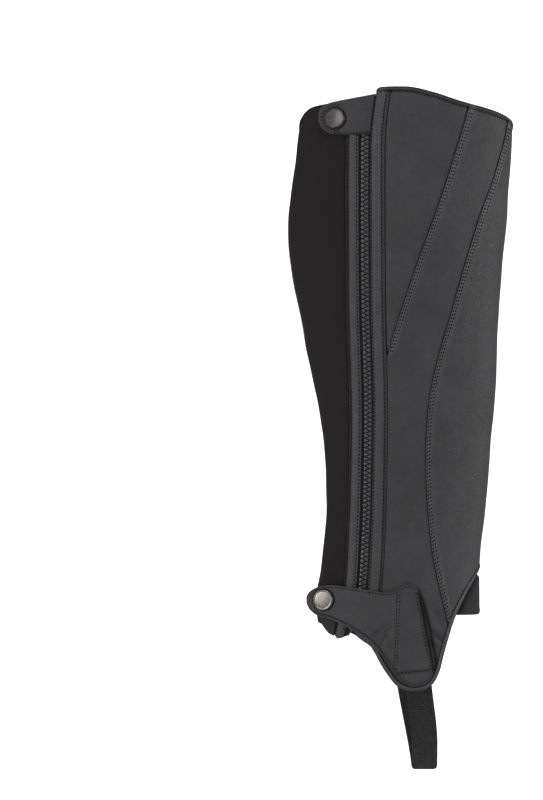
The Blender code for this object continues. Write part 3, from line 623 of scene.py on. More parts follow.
@dataclass(frozen=True)
class SpacerMesh(Finish):
    """Warp-knitted spacer mesh of polyester: rows of diamond holes with thick knitted bars between them.

    The height is the greater of the two distances from the slanting bars, which leaves diamonds as holes.
    """

    pitch: float = 3.5  # mm from hole to hole
    slope: float = 0.62  # of the bars
    relief: float = 0.7  # mm
    fibre: float = 0.7  # mm across a fleck of loose fibres

    def wire(self, tree: Tree, shader: Any, coords: Any) -> None:
        """Bump and colour from diamonds drawn on the UV map."""
        parts = add_node(tree, "SeparateXYZ", {0: coords.outputs["UV"]}).outputs
        bars = {}
        for bar, slope in enumerate((self.slope, -self.slope)):
            slant = add_node(tree, "Math", {0: parts[1], 1: slope, 2: parts[0]}, operation="MULTIPLY_ADD")
            bars[bar] = add_node(tree, "Math", {0: self.wave(tree, slant, 2 * self.pitch)}, operation="ABSOLUTE")
        hole = add_node(tree, "Math", bars, operation="MINIMUM")
        inputs = {0: hole, 1: 0.3, 2: 0.62, 3: 1.0, 4: 0.0}
        height = add_node(tree, "MapRange", inputs, interpolation_type="SMOOTHSTEP")
        inputs = {"Vector": coords.outputs["Object"], "Scale": per_mm(self.fibre), "Detail": 2.0}
        fibres = add_node(tree, "TexNoise", inputs)
        both = add_node(tree, "Math", {0: fibres, 1: 0.25, 2: height}, operation="MULTIPLY_ADD")
        bump = add_node(tree, "Bump", {"Strength": 0.8, "Distance": self.relief * MM, "Height": both})
        feed(shader, {"Normal": bump, "Base Color": self.between(tree, height), "Specular IOR Level": 0.25})


@dataclass(frozen=True)
class SpeckledPlain(Finish):
    """A moulded or twisted thing too small for a pattern of its own: a slight mottling of colour and height."""

    speckle: float = 1.0  # mm
    relief: float = 0.03  # mm
    specular: float = 0.5
    glow: float = 0.0  # how much white light it gives, for the surroundings

    def wire(self, tree: Tree, shader: Any, coords: Any) -> None:
        """Colour, bump and roughness from one noise."""
        inputs = {"Vector": coords.outputs["Object"], "Scale": per_mm(self.speckle), "Detail": 3.0}
        noise = add_node(tree, "TexNoise", inputs)
        bump = add_node(tree, "Bump", {"Strength": 0.5, "Distance": self.relief * MM, "Height": noise})
        colour, rough = self.between(tree, noise), self.rough(tree, noise, 0.05, 0.08)
        feed(shader, {"Normal": bump, "Base Color": colour, "Roughness": rough, "Specular IOR Level": self.specular})
        if self.glow:
            feed(shader, {"Emission Color": (1.0, 1.0, 1.0, 1.0), "Emission Strength": self.glow})


@dataclass(frozen=True)
class BrushedNickel(Finish):
    """Pressed brass plated with nickel and brushed: fine scratches across the cap, a little tarnish in them."""

    scratch: float = 0.35  # mm across a scratch
    tarnish: float = 4.0  # mm across a patch of it

    def wire(self, tree: Tree, shader: Any, coords: Any) -> None:
        """Bump and roughness from noise drawn out along the brushing, colour from slow tarnish."""
        place = coords.outputs["Object"]
        drawn = add_node(tree, "Mapping", {0: place, "Rotation": (0.0, 0.7, 0.0), "Scale": (1.0, 1.0, 0.06)})
        lines = add_node(tree, "TexNoise", {"Vector": drawn, "Scale": per_mm(self.scratch), "Detail": 3.0})
        bump = add_node(tree, "Bump", {"Strength": 0.35, "Distance": 0.02 * MM, "Height": lines})
        tarnish = add_node(tree, "TexNoise", {"Vector": place, "Scale": per_mm(self.tarnish), "Detail": 4.0})
        colour = self.between(tree, add_node(tree, "MapRange", {0: tarnish, 1: 0.35, 2: 0.7}))
        rough = self.rough(tree, lines, 0.06, 0.1)
        feed(shader, {"Normal": bump, "Base Color": colour, "Roughness": rough, "Metallic": 1.0})


PANEL_LEATHER = PigmentedLeather("pigmented_cowhide_panels", "#333335", "#38383a", 0.5)
STRIP_LEATHER = PigmentedLeather("pigmented_cowhide_strips", "#3d3d3f", "#424244", 0.46, grain=1.1)
EDGE_LEATHER = PigmentedLeather("pigmented_goatskin_binding", "#2c2c2e", "#343436", 0.5, grain=1.0)
# The snap base's facing is darkened with painted shade, for the shadow it lies in.
SHADED_BASE_LEATHER = PigmentedLeather("goatskin_facing_painted_shade", "#1e1e1f", "#272728", 0.55, grain=1.0)
STRETCH_CLOTH = ThreadedCloth("elastane_warp_knit", "#131112", "#262324", 0.9, across=0.8, along=0.6, relief=0.09)
WEBBING = ThreadedCloth("ribbed_elastic_webbing", "#0f0f10", "#333335", 0.85, 1.25, 1.1, 0.3, 0.2, 1.5, 2.6)
ZIP_TAPE = ThreadedCloth("woven_polyester_tape", "#161617", "#262627", 0.8, slant=0.6)
HEM_TAPE = ThreadedCloth("woven_polyester_binding_tape", "#232325", "#2c2c2e", 0.7, across=0.7, relief=0.1, slant=0.5)
MESH_LINING = SpacerMesh("polyester_spacer_mesh", "#0b0b0b", "#232323", 0.8)
THREAD = SpeckledPlain("bonded_polyester_thread", "#080809", "#111112", 0.85, speckle=0.6, relief=0.08, specular=0.1)
ACETAL = SpeckledPlain("moulded_acetal_teeth", "#38383a", "#4a4a4c", 0.25, speckle=1.5, relief=0.02)
ENAMELLED_ZINC = SpeckledPlain("enamelled_zinc_slider", "#222223", "#2c2c2d", 0.3, speckle=2.0, relief=0.02)
# Two copies of one brushed nickel: the top cap's carries painted shade, the ankle cap's painted light.
SHADED_NICKEL = BrushedNickel("shaded_nickel_cap", "#504e4c", "#65625f", 0.34)
LIT_NICKEL = BrushedNickel("lit_nickel_cap", "#8b8783", "#a5a19c", 0.3)
NICKEL_STUD = BrushedNickel("plain_nickel_studs", "#6b6865", "#8d8a86", 0.42)
SWEEP_PAPER = SpeckledPlain("matt_background_paper", "#f2f2f2", "#f6f6f6", 0.9, 3.0, 0.0, 0.2, glow=0.75)
SURROUND_WHITE = SpeckledPlain("white_surround", "#000000", "#000000", 1.0, 900.0, 0.0, 0.0, glow=1.0)


# ------------------------------ meshes
def quads_of(grid: Array) -> Array:
    """The quads of a grid of point numbers, each down its left side, along its foot and back up."""
    return np.stack([grid[:-1, :-1], grid[1:, :-1], grid[1:, 1:], grid[:-1, 1:]], axis=-1).reshape(-1, 4)


def new_piece(name: str, points: Array, faces: Sequence[Array], finish: Finish, uv: Array | None = None) -> Any:
    """A mesh object from whole arrays.

    Args:
        name: the piece's name.
        points: its points, in millimetres.
        faces: arrays of corner numbers, one array for each number of corners.
        finish: its material.
        uv: each corner's place on the cloth, in millimetres.

    Returns:
        The object, at the origin.
    """
    mesh = bpy.data.meshes.new(name)
    corners = np.concatenate([part.ravel() for part in faces]).astype(np.int32)
    counts = np.concatenate([np.full(len(part), part.shape[1]) for part in faces])
    mesh.vertices.add(len(points))
    mesh.vertices.foreach_set("co", (np.asarray(points, float) * MM).ravel())
    mesh.loops.add(len(corners))
    mesh.loops.foreach_set("vertex_index", corners)
    mesh.polygons.add(len(counts))
    mesh.polygons.foreach_set("loop_start", (np.cumsum(counts) - counts).astype(np.int32))
    mesh.polygons.foreach_set("use_smooth", np.ones(len(counts), bool))
    if uv is not None:
        mesh.uv_layers.new(name="cloth").data.foreach_set("uv", uv.ravel())
    mesh.update(calc_edges=True)
    mesh.validate()
    mesh.materials.append(finish.made())
    made = bpy.data.objects.new(name, mesh)
    bpy.context.scene.collection.objects.link(made)
    return made


def wall_of_cloth(
    name: str, outer: Array, inner: Array, flat: Array, finish: Finish, pressed: Array | None = None
) -> Any:
    """A closed wall of cloth: a grid of faces on its outer points, one on its inner points and a rim between them.

    Rows run down and columns run to the right, seen from outside, so the faces point outwards.

    Args:
        name: the piece's name.
        outer: rows and columns of points.
        inner: as many points behind them.
        flat: each outer point's place on the flat cloth.
        finish: its material.
        pressed: each outer point's painted shade in a seam or a groove, from 0 to 1, or below 0 its painted highlight
            between stitches.

    Returns:
        The object.
    """
    rows, cols = outer.shape[:2]
    behind = rows * cols
    front = np.arange(behind).reshape(rows, cols)
    quads = quads_of(front)
    loop = np.concatenate([front[:-1, 0], front[-1, :-1], front[:0:-1, -1], front[0, :0:-1]])
    after = np.roll(loop, -1)
    rim = np.stack([after, loop, loop + behind, after + behind], axis=1)
    faces = np.concatenate([quads, quads[:, ::-1] + behind, rim])
    uv = np.concatenate([flat.reshape(-1, 2)] * 2)[faces]
    uv[-len(rim) :, 2:] += np.linalg.norm(outer[0, 0] - inner[0, 0])
    points = np.concatenate([outer.reshape(-1, 3), inner.reshape(-1, 3)])
    made = new_piece(name, points, [faces], finish, uv)
    if pressed is not None:
        values = np.concatenate([np.clip(pressed, -1, 1).ravel(), np.zeros(behind)])
        made.data.attributes.new("pressed", "FLOAT", "POINT").data.foreach_set("value", values)
    return made


@dataclass(frozen=True)
class SmallForm:
    """A small closed form that is set down once or many times: its points and its faces."""

    points: Array
    faces: tuple[Array, Array]

    @staticmethod
    def stacked(rings: Array, first: Array, last: Array) -> "SmallForm":
        """A form from rings of points, closed by a fan at each end.

        Args:
            rings: rings of as many points each, which run anticlockwise seen from the last ring's end.
            first: the pole before the first ring.
            last: the pole after the last ring.

        Returns:
            The form.
        """
        size, count = rings.shape[0] * rings.shape[1], rings.shape[1]
        grid = np.arange(size).reshape(-1, count)
        grid = np.concatenate([grid, grid[:, :1]], axis=1)
        ends = ((size, grid[0, 1:], grid[0, :-1]), (size + 1, grid[-1, :-1], grid[-1, 1:]))
        fans = [np.stack([np.full(count, pole), one, two], axis=1) for pole, one, two in ends]
        points = np.concatenate([rings.reshape(-1, 3), [first], [last]])
        return SmallForm(points, (quads_of(grid.T), np.concatenate(fans)))

    def set_down(self, name: str, origins: Array, frames: Array, finish: Finish) -> Any:
        """One mesh of the form at many places.

        Args:
            name: the piece's name.
            origins: where each stands.
            frames: each one's three directions, as rows.
            finish: its material.

        Returns:
            The object.
        """
        points = origins[:, None] + np.einsum("pk,nkc->npc", self.points, frames)
        shift = np.arange(len(origins))[:, None, None] * len(self.points)
        faces = [(part[None] + shift).reshape(-1, part.shape[1]) for part in self.faces]
        return new_piece(name, points.reshape(-1, 3), faces, finish)


@dataclass
class Stitching:
    """Rows of lockstitch on one piece, each stitch a short thread that dips into the cloth at both ends."""

    name: str
    pitch: float = 2.5
    length: float = 1.65
    thickness: float = 1.05
    proud: float = 0.12  # how far the thread's middle lies above the cloth
    sides: int = 5
    rows: list[tuple[Array, Array, float]] = field(default_factory=list)

    def add(self, line: Array, normals: Array, size: float = 1.0) -> None:
        """Adds a row along a line of points, with the cloth's outward directions and the size of its thread."""
        self.rows.append((line, normals, size))

    def form(self) -> SmallForm:
        """One stitch: rings along it, thin at its ends, and arched as one less the fourth power."""
        along = np.array([-0.43, -0.2, 0.2, 0.43])[:, None]
        radius = np.array([0.72, 1.0, 1.0, 0.72])[:, None] * self.thickness / 2
        turn = np.linspace(0, 2 * np.pi, self.sides, endpoint=False)
        sink = self.thickness * 1.1
        arch = -sink * (2 * np.abs(along)) ** 4
        rings = merge(along * self.length, radius * np.cos(turn), radius * np.sin(turn) + arch)
        end = np.array([self.length / 2, 0, -sink])
        return SmallForm.stacked(rings, end * (-1, 1, 1), end)

    def made(self) -> Any:
        """The joined mesh of every stitch of every row."""
        draw = np.random.default_rng(SEED + len(self.name))
        origins, frames = [], []
        for line, normals, size in self.rows:
            gone = travelled(line)
            count = max(1, int(gone[-1] / self.pitch))
            at = (np.arange(count) + 0.5) * gone[-1] / count + draw.normal(0, 0.05, count)
            along = units(read(at + 0.6, gone, line) - read(at - 0.6, gone, line))
            up = upright(read(at, gone, normals), along)
            origins.append(read(at, gone, line) + up * self.proud)
            frames.append(np.stack([along, np.cross(up, along) * size, up * size], axis=1))
        return self.form().set_down(self.name, np.concatenate(origins), np.concatenate(frames), THREAD)


# ------------------------------ cut pieces on the wall
ROW_WIDTH = 0.55  # half the width of the trough under a row of stitches, and its depth
ROW_DEPTH = 0.2


@dataclass(frozen=True)
class Side:
    """How a side of a cut piece rises and is stitched, by the distance in from it, in millimetres."""

    lap: float = 0.0  # how far it lies on its neighbour
    band: float = 6.2  # how wide that is
    roll: float = 0.45  # radius of its rounded edge
    dip: float = 0.0  # how far it sinks where a neighbour lies on it
    rows: tuple[float, ...] = ()  # stitch rows
    # how dark its rows are: painted shade in their troughs
    row_painted_shade: float = 0.05
    stitch_painted_highlight: float = 0.0  # how much lighter the cloth is between its rows: a painted highlight where the stitches pull it tight
    shade: float = 0.0  # how much painted shade it has from its edge to its first row
    # the width of the painted shadow where a neighbour lies on it
    dip_width: float = 0.25
    above: float | None = None  # the height above which the lap and the rows hold

    def holds(self, height: Array) -> Array:
        """How much of the lap holds at each height, from 0 to 1."""
        return np.ones_like(height) if self.above is None else ease((height - self.above) / 7)

    def rise(self, distance: Array, height: Array) -> Array:
        """The lap, less its rounded edge, the dip and a bell-shaped groove under each row of stitches."""
        out = self.lap * (1 - ease((distance - self.band) / 2.2))
        for row in self.rows:
            out = out - ROW_DEPTH * bell(distance - row, ROW_WIDTH)
        return out * self.holds(height) - rolled(distance, self.roll) - self.dip * bell(distance, 1.6)

    def pressed(self, distance: Array, height: Array) -> Array:
        """Its painted shade, from 0 to 1: bells at its rows, at its very edge and in its dip, a band out to its first
        row, and below 0 a painted highlight between its rows.
        """
        deep = 0.6 * bell(distance, 0.2)
        for row in self.rows:
            deep = np.maximum(deep, self.row_painted_shade * bell(distance - row, ROW_WIDTH))
        if self.dip:
            deep = np.maximum(deep, 0.8 * bell(distance, self.dip_width, 4))
        if self.shade:
            deep = np.maximum(deep, self.shade * (1 - ease((distance - self.rows[0] - 0.2) / 0.9)))
        if self.stitch_painted_highlight:
            deep = deep - self.stitch_painted_highlight * ease(distance / 0.6) * (1 - ease((distance - self.rows[-1] - 0.6) / 1.2))
        return deep * self.holds(height)

    def steps(self) -> Array:
        """Where the columns lie: close at the rounded edge, at the grooves and where the lap ends."""
        places = [0, 0.12, 0.3, 0.45, 0.9]
        places += [row + step for row in self.rows for step in (-0.8, -0.35, 0, 0.35, 0.8)]
        if self.lap:
            places += [self.band + step for step in (0, 0.7, 1.5, 2.4)]
        elif self.dip:
            places += [1.6, 2.6]
        places = np.unique(np.round(places, 2))
        return places[np.concatenate([[True], np.diff(places) > 0.11])]


ENDS = np.array([0, 0.12, 0.3, 0.5, 1.0, 2.0])


@dataclass(frozen=True)
class Groove:
    """A trough in the leather along a line on the wall, or at a distance from it."""

    line: Array
    away: float = 0.0
    width: float = 0.6
    depth: float = 0.4
    # the painted shade in the trough
    dark: float = 0.42


@dataclass(frozen=True)
class Cut:
    """The flat cut of a sheet: its greatest width and length and its area, in millimetres, and how it is held."""

    width: float
    length: float
    area: float
    held: Held
    rests_on: tuple[str, ...]


def dress(piece: Any, node: str | None, cut: Cut | None = None) -> Any:
    """Sets a piece on the one body and hides the node that it stands for.

    Args:
        piece: the object.
        node: the solid that it stands for.
        cut: its flat cut, if it is cloth; not used.

    Returns:
        The object.
    """
    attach(piece, "root")
    if node:
        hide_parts(node)
    if cut:
        list(cut.rests_on)
    area = sum(part.area for part in piece.data.polygons) / 2 / MM**2
    log.info("%s: %d faces, half its surface %.0f mm2", piece.name, len(piece.data.polygons), area)
    return piece


@dataclass
class CutPiece:
    """A cut piece on the wall: a Coons patch of (turn, height) between two seams and two edge lines.

    A Coons patch blends left to right, adds top blended to bottom, and takes off the four corners' blend.
    """

    left: Seam
    right: Seam
    top: Array
    bottom: Array
    left_side: Side = Side()
    right_side: Side = Side()
    out: float = 0.0
    thickness: float = 1.2
    cell: float = 2.2
    more: Callable[[Array], Array] | None = None  # what else it rises, by its places
    crown: float = 0.0  # how far its middle bulges between its rows
    grooves: tuple[Groove, ...] = ()
    fine: int = 241
    across_thread: float = 0.6  # the size of the thread in rows under a binding

    def __post_init__(self) -> None:
        """Works out the four sides and how wide and long the piece is along them."""
        self.share = np.linspace(0, 1, self.fine)
        self.sides = [WALL.between(line, self.left, self.right, self.fine) for line in (self.top, self.bottom)]
        for line, end in ((self.left, 0), (self.right, -1)):
            start, stop = self.sides[0][end, 1], self.sides[1][end, 1]
            heights = start + self.share * (stop - start)
            self.sides.append(merge(line.turn(heights), heights))
        places = self.places(*np.meshgrid(self.share, self.share))
        points = WALL.point(places[..., 0], places[..., 1])
        self.widths, self.lengths = travelled(points, 1)[:, -1], travelled(points, 0)[-1]

    def places(self, u: Array, v: Array) -> Array:
        """The (turn, height) at shares across and down."""
        top, bottom, left, right = (read(at, self.share, side) for side, at in zip(self.sides, (u, u, v, v)))
        u, v = u[..., None], v[..., None]
        first, last = self.sides[0], self.sides[1]
        corners = (1 - v) * ((1 - u) * first[0] + u * first[-1]) + v * ((1 - u) * last[0] + u * last[-1])
        return (1 - u) * left + u * right + (1 - v) * top + v * bottom - corners

    def wide(self, v: Array) -> Array:
        """The width at a share down."""
        return np.interp(v, self.share, self.widths)

    def long(self, u: Array) -> Array:
        """The length at a share across."""
        return np.interp(u, self.share, self.lengths)

    def rise(self, from_left: Array, from_right: Array, places: Array) -> Array:
        """What both sides and the piece's own relief add."""
        height = places[..., 1]
        out = self.left_side.rise(from_left, height) + self.right_side.rise(from_right, height)
        if self.crown:
            left, right = self.left_side.rows[-1], self.right_side.rows[-1]
            share = np.clip((from_left - left) / (from_left + from_right - left - right), 0, 1)
            out = out + self.crown * 4 * share * (1 - share)
        return out - self.grooved(places)[0] + (self.more(places) if self.more else 0)

    def grooved(self, places: Array) -> tuple[Array, Array]:
        """The depth and the painted shade of its grooves: bells of the distance from each line."""
        depth, dark = np.zeros(places.shape[:-1]), np.zeros(places.shape[:-1])
        for groove in self.grooves:
            near = bell(WALL.distance(places, groove.line) - groove.away, groove.width)
            depth, dark = depth + groove.depth * near, np.maximum(dark, groove.dark * near)
        return depth, dark

    def outer(self, u: Array, v: Array, rim: bool = False) -> Array:
        """Points of the outer face at shares across and down.

        Args:
            u: shares across.
            v: shares down.
            rim: whether the top and bottom are rounded over too.

        Returns:
            The points.
        """
        places, wide, long = self.places(u, v), self.wide(v), self.long(u)
        rise = self.rise(u * wide, (1 - u) * wide, places)
        if rim:
            rise = rise - rolled(v * long, self.left_side.roll) - rolled((1 - v) * long, self.left_side.roll)
        return WALL.offset(places, self.out + rise)

    def made(self, name: str, finish: Finish, rim: bool = False) -> Any:
        """The piece's closed wall of cloth.

        Args:
            name: its name.
            finish: its material.
            rim: whether its top and bottom are rounded over.

        Returns:
            The object.
        """
        steps = self.left_side.steps(), self.right_side.steps()
        across = spread(self.wide(np.array([0.5])), *steps, self.cell)[0]
        v = spread(self.long(across), ENDS, ENDS, self.cell).T
        u = spread(self.wide(v.mean(axis=1)), *steps, self.cell)
        if v.shape[1] != u.shape[1]:
            v = read(np.linspace(0, 1, u.shape[1]), np.linspace(0, 1, v.shape[1]), v.T).T
        places, wide = self.places(u, v), self.wide(v)
        height, from_left, from_right = places[..., 1], u * wide, (1 - u) * wide
        # painted shade of its seams, rows and grooves, and painted highlight between its rows
        pressed = self.left_side.pressed(from_left, height) + self.right_side.pressed(from_right, height)
        flat = merge(from_left, -v * self.long(u))
        inner = WALL.offset(places, self.out - self.thickness)
        return wall_of_cloth(name, self.outer(u, v, rim), inner, flat, finish, pressed + self.grooved(places)[1])

    def row_down(self, distance: float, from_right: bool, ends: float = 4.6) -> tuple[Array, Array]:
        """A line down the piece at a distance in from a side.

        Args:
            distance: how far in.
            from_right: whether that is from the right side.
            ends: how far from the top and the bottom it stops.

        Returns:
            The line's points and the wall's outward directions.
        """
        side, v = self.right_side if from_right else self.left_side, self.share
        u = distance / self.wide(v)
        u = 1 - u if from_right else u
        long, places = self.long(u), self.places(u, v)
        keep = (v * long > ends) & ((1 - v) * long > ends) & (side.holds(places[:, 1]) > 0.5)
        keep &= self.wide(v) > distance + 1.5
        return self.outer(u[keep], v[keep]), WALL.normal(*places[keep].T)

    def row_across(self, line: Array) -> tuple[Array, Array]:
        """A line across the piece along an edge line: its points and the wall's outward directions."""
        places = WALL.between(line, self.left, self.right, self.fine)
        gone = travelled(WALL.point(*places.T))
        return WALL.offset(places, self.out + self.rise(gone, gone[-1] - gone, places)), WALL.normal(*places.T)

    def stitched(self, name: str, across: Sequence[Array]) -> Any:
        """The stitches of both sides' rows and of rows across along some lines."""
        stitching = Stitching(name)
        for side, from_right in ((self.left_side, False), (self.right_side, True)):
            for distance in side.rows:
                stitching.add(*self.row_down(distance, from_right))
        for line in across:
            stitching.add(*self.row_across(line), self.across_thread)
        return stitching.made()

    def sew(
        self, node: str, finish: Finish, slot: str, cut: Cut, across: Sequence[Array] = (), rim: bool = False
    ) -> None:
        """Makes and dresses a piece of leather and its stitches.

        Args:
            node: the solid that it stands for.
            finish: its material.
            slot: the slot of that; not used.
            cut: its flat cut.
            across: the lines of its rows across.
            rim: whether its top and bottom are rounded over.
        """
        stitches = dress(self.stitched(node + "_stitches", across), None)
        dress(self.made(node + "_leather", finish, rim), node, cut)


@dataclass(frozen=True)
class Seams:
    """The gaps and widths that the panels, the strips and the bindings share."""

    gap: float = 0.25
    under_binding: float = 1.0  # how near the fold the leather ends
    binding: float = 3.2
    row_under_binding: float = 3.9
    opening: float = 4.2
    rear_reach: float = 13.8
    front_reach: float = 14.2
    back_strip: float = 11.0
    trough: float = 0.35  # depth of the leather's trough along a binding
    corner: float = 2.8  # radius of the top edge's corner beside the zip

    def bound_grooves(self) -> tuple[Groove, Groove]:
        """The troughs along the inside of both bindings, with painted shade in them."""
        return tuple(Groove(line, self.binding - 0.1, depth=self.trough) for line in (TOP_EDGE, BOTTOM_EDGE))

    def bound(self, drop: float) -> tuple[Array, Array]:
        """The top and bottom edges, moved in by a distance, with the corner beside the zip rounded off."""
        top = WALL.lowered(TOP_EDGE, drop)
        beside = np.argmin(np.abs(top[:, 0] - ZIP_LINE.moved(self.opening).turn(top[:, 1])))
        gone = travelled(WALL.point(*top.T))
        top[:, 1] -= rolled(gone - gone[beside], self.corner) * max(0.0, 1 - drop / self.binding)
        return top, WALL.lowered(BOTTOM_EDGE, -drop)


SEAMS = Seams()
HALF_GAP = SEAMS.gap / 2
# Lapped sides carry painted shade at their rows and painted highlight between them; sides under a lap carry painted
# shadow in their dip.
LAPPED = Side(lap=0.55, band=5.2, rows=(1.45, 3.55), stitch_painted_highlight=0.65, row_painted_shade=0.1)
UNDER = Side(dip=0.2, roll=0.2)
THIN = Side(roll=0.3)


@dataclass
class LeatherPanels:
    """The four leather panels, each with its rows of stitches and the mesh lining behind it."""

    lining_out: float = -1.55
    lining_thickness: float = 1.0
    lining_cell: float = 4.0
    under_strip: float = 3.6  # how far the outer linings reach under the strip beside the zip
    past_seam: float = 2.5  # how far past the leather's seams the linings meet
    # The line that the ankle strap's free side presses into the flap, with the strap's painted shadow in it: X by
    # height.
    strap_side: Curve = Curve((
        (-257, 15), (-263, 17.6), (-274, 20.6), (-284, 23.2), (-294, 25), (-305, 27), (-311, 28),
    ))
    cuts: tuple[tuple[float, float, float], ...] = (  # width, length, area
        (56, 190, 6000), (66, 420, 15600), (100, 405, 27500), (155, 400, 42000),
    )

    def pieces(self) -> dict[str, CutPiece]:
        """The four panels between their seams."""
        top, bottom = SEAMS.bound(SEAMS.under_binding)
        edges = SEAMS.bound_grooves()
        at = np.linspace(-257, -311, 160)
        strap_side = merge(WALL.place(Face.OUTER, self.strap_side.at(at), at), at)
        # the strap's side: a real groove with the strap's painted shadow in it
        outer_grooves = (*edges, Groove(strap_side, width=1.1, depth=0.6, dark=1.0))
        strip, knot = ZIP_LINE.moved(SEAMS.front_reach + HALF_GAP), self.knot()
        joined = JoinedSeam(strip.face, strip.line, strip.right, other=DIAGONAL_SEAM.moved(HALF_GAP))
        beside = [(line.moved(-HALF_GAP), line.moved(HALF_GAP)) for line in (OUTER_SHIN_SEAM, INNER_SHIN_SEAM)]
        # painted shadow in the dips, painted shade at the rows and painted highlight between them
        butted = Side(dip=0.4, roll=0.5, dip_width=0.4)
        above = Side(lap=0.55, band=5.2, rows=(1.45, 3.55), stitch_painted_highlight=0.8, above=knot - 1)
        diagonal, back, foot = DIAGONAL_SEAM.moved(-HALF_GAP), BACK_SEAM.moved(-HALF_GAP), level_line(knot + 4)
        return {
            "outer_upper": CutPiece(strip, diagonal, top, foot, butted, UNDER, grooves=edges[:1]),
            "outer": CutPiece(joined, beside[0][0], top, bottom, above, UNDER, grooves=outer_grooves),
            "shin": CutPiece(beside[0][1], beside[1][0], top, bottom, LAPPED, LAPPED, grooves=edges),
            "inner": CutPiece(beside[1][1], back, top, bottom, UNDER, UNDER, grooves=edges),
        }

    def knot(self) -> float:
        """The height at which the diagonal seam meets the strip in front of the zip."""
        heights = np.linspace(-60, -120, 601)
        apart = DIAGONAL_SEAM.turn(heights) - ZIP_LINE.moved(SEAMS.front_reach).turn(heights)
        return float(heights[np.argmin(np.abs(apart))])

    def build(self) -> None:
        """Makes and dresses the panels, their stitches and the mesh behind each, to the panel's own outline."""
        rows = SEAMS.bound(SEAMS.row_under_binding)
        for (name, panel), sizes in zip(self.pieces().items(), self.cuts):
            across = rows[:1] if name == "outer_upper" else rows
            lining = name + "_lining"
            cut = Cut(*sizes, Held.LAID, (lining + "_mesh",))
            panel.sew(name + "_panel", PANEL_LEATHER, "panel_leather", cut, across)
            mesh = CutPiece(
                panel.left.moved(-self.under_strip if name.startswith("outer") else self.past_seam),
                panel.right if name == "inner" else panel.right.moved(self.past_seam),
                panel.top,
                panel.bottom,
                THIN,
                THIN,
                self.lining_out,
                self.lining_thickness,
                self.lining_cell,
            )
            cut = Cut(*sizes, Held.HUNG, ("top_binding_leather",))
            dress(mesh.made(lining + "_mesh", MESH_LINING), lining, cut)


@dataclass
class BackPieces:
    """The strip of leather at the inner back and the stretch cloth from there to the zip."""

    strip_out: float = 0.6
    strip_thickness: float = 1.8
    stretch_thickness: float = 1.6
    hem: float = 6.4
    strip_cut: Cut = Cut(10.6, 365, 3800, Held.LAID, ("inner_panel_leather", "stretch_panel_knit"))
    stretch_cut: Cut = Cut(76, 372, 17900, Held.STRETCHED, ("zip_rear_strip_leather", "inner_back_strip_leather"))

    def hem_fold(self, places: Array) -> Array:
        """The shallow line where the stretch cloth's hem ends: a bell-shaped groove below its top edge."""
        edge = TOP_EDGE[np.argsort(TOP_EDGE[:, 0])]
        below = np.interp(places[..., 0], edge[:, 0], edge[:, 1]) - places[..., 1] - self.hem
        return 0.3 * (1 - ease(below / 1.2)) - 0.5 * bell(below, 0.8)

    def build(self) -> None:
        """Makes and dresses both pieces."""
        left, right = BACK_SEAM.moved(HALF_GAP), BACK_SEAM.moved(SEAMS.back_strip - HALF_GAP)
        side = Side(roll=0.6, rows=(1.5,))
        lines, grooves = SEAMS.bound(SEAMS.under_binding), SEAMS.bound_grooves()
        strip = CutPiece(left, right, *lines, side, side, self.strip_out, self.strip_thickness, grooves=grooves)
        rows = SEAMS.bound(SEAMS.row_under_binding)
        strip.sew("inner_back_strip", STRIP_LEATHER, "strip_leather", self.strip_cut, rows)
        stretch = CutPiece(
            BACK_SEAM.moved(SEAMS.back_strip + HALF_GAP),
            ZIP_LINE.moved(-SEAMS.rear_reach - HALF_GAP, Face.REAR),
            TOP_EDGE,
            BOTTOM_EDGE,
            UNDER,
            Side(dip=0.5, roll=0.5),
            thickness=self.stretch_thickness,
            more=self.hem_fold,
        )
        cloth = stretch.made("stretch_panel_knit", STRETCH_CLOTH, rim=True)
        dress(cloth, "stretch_panel", self.stretch_cut)


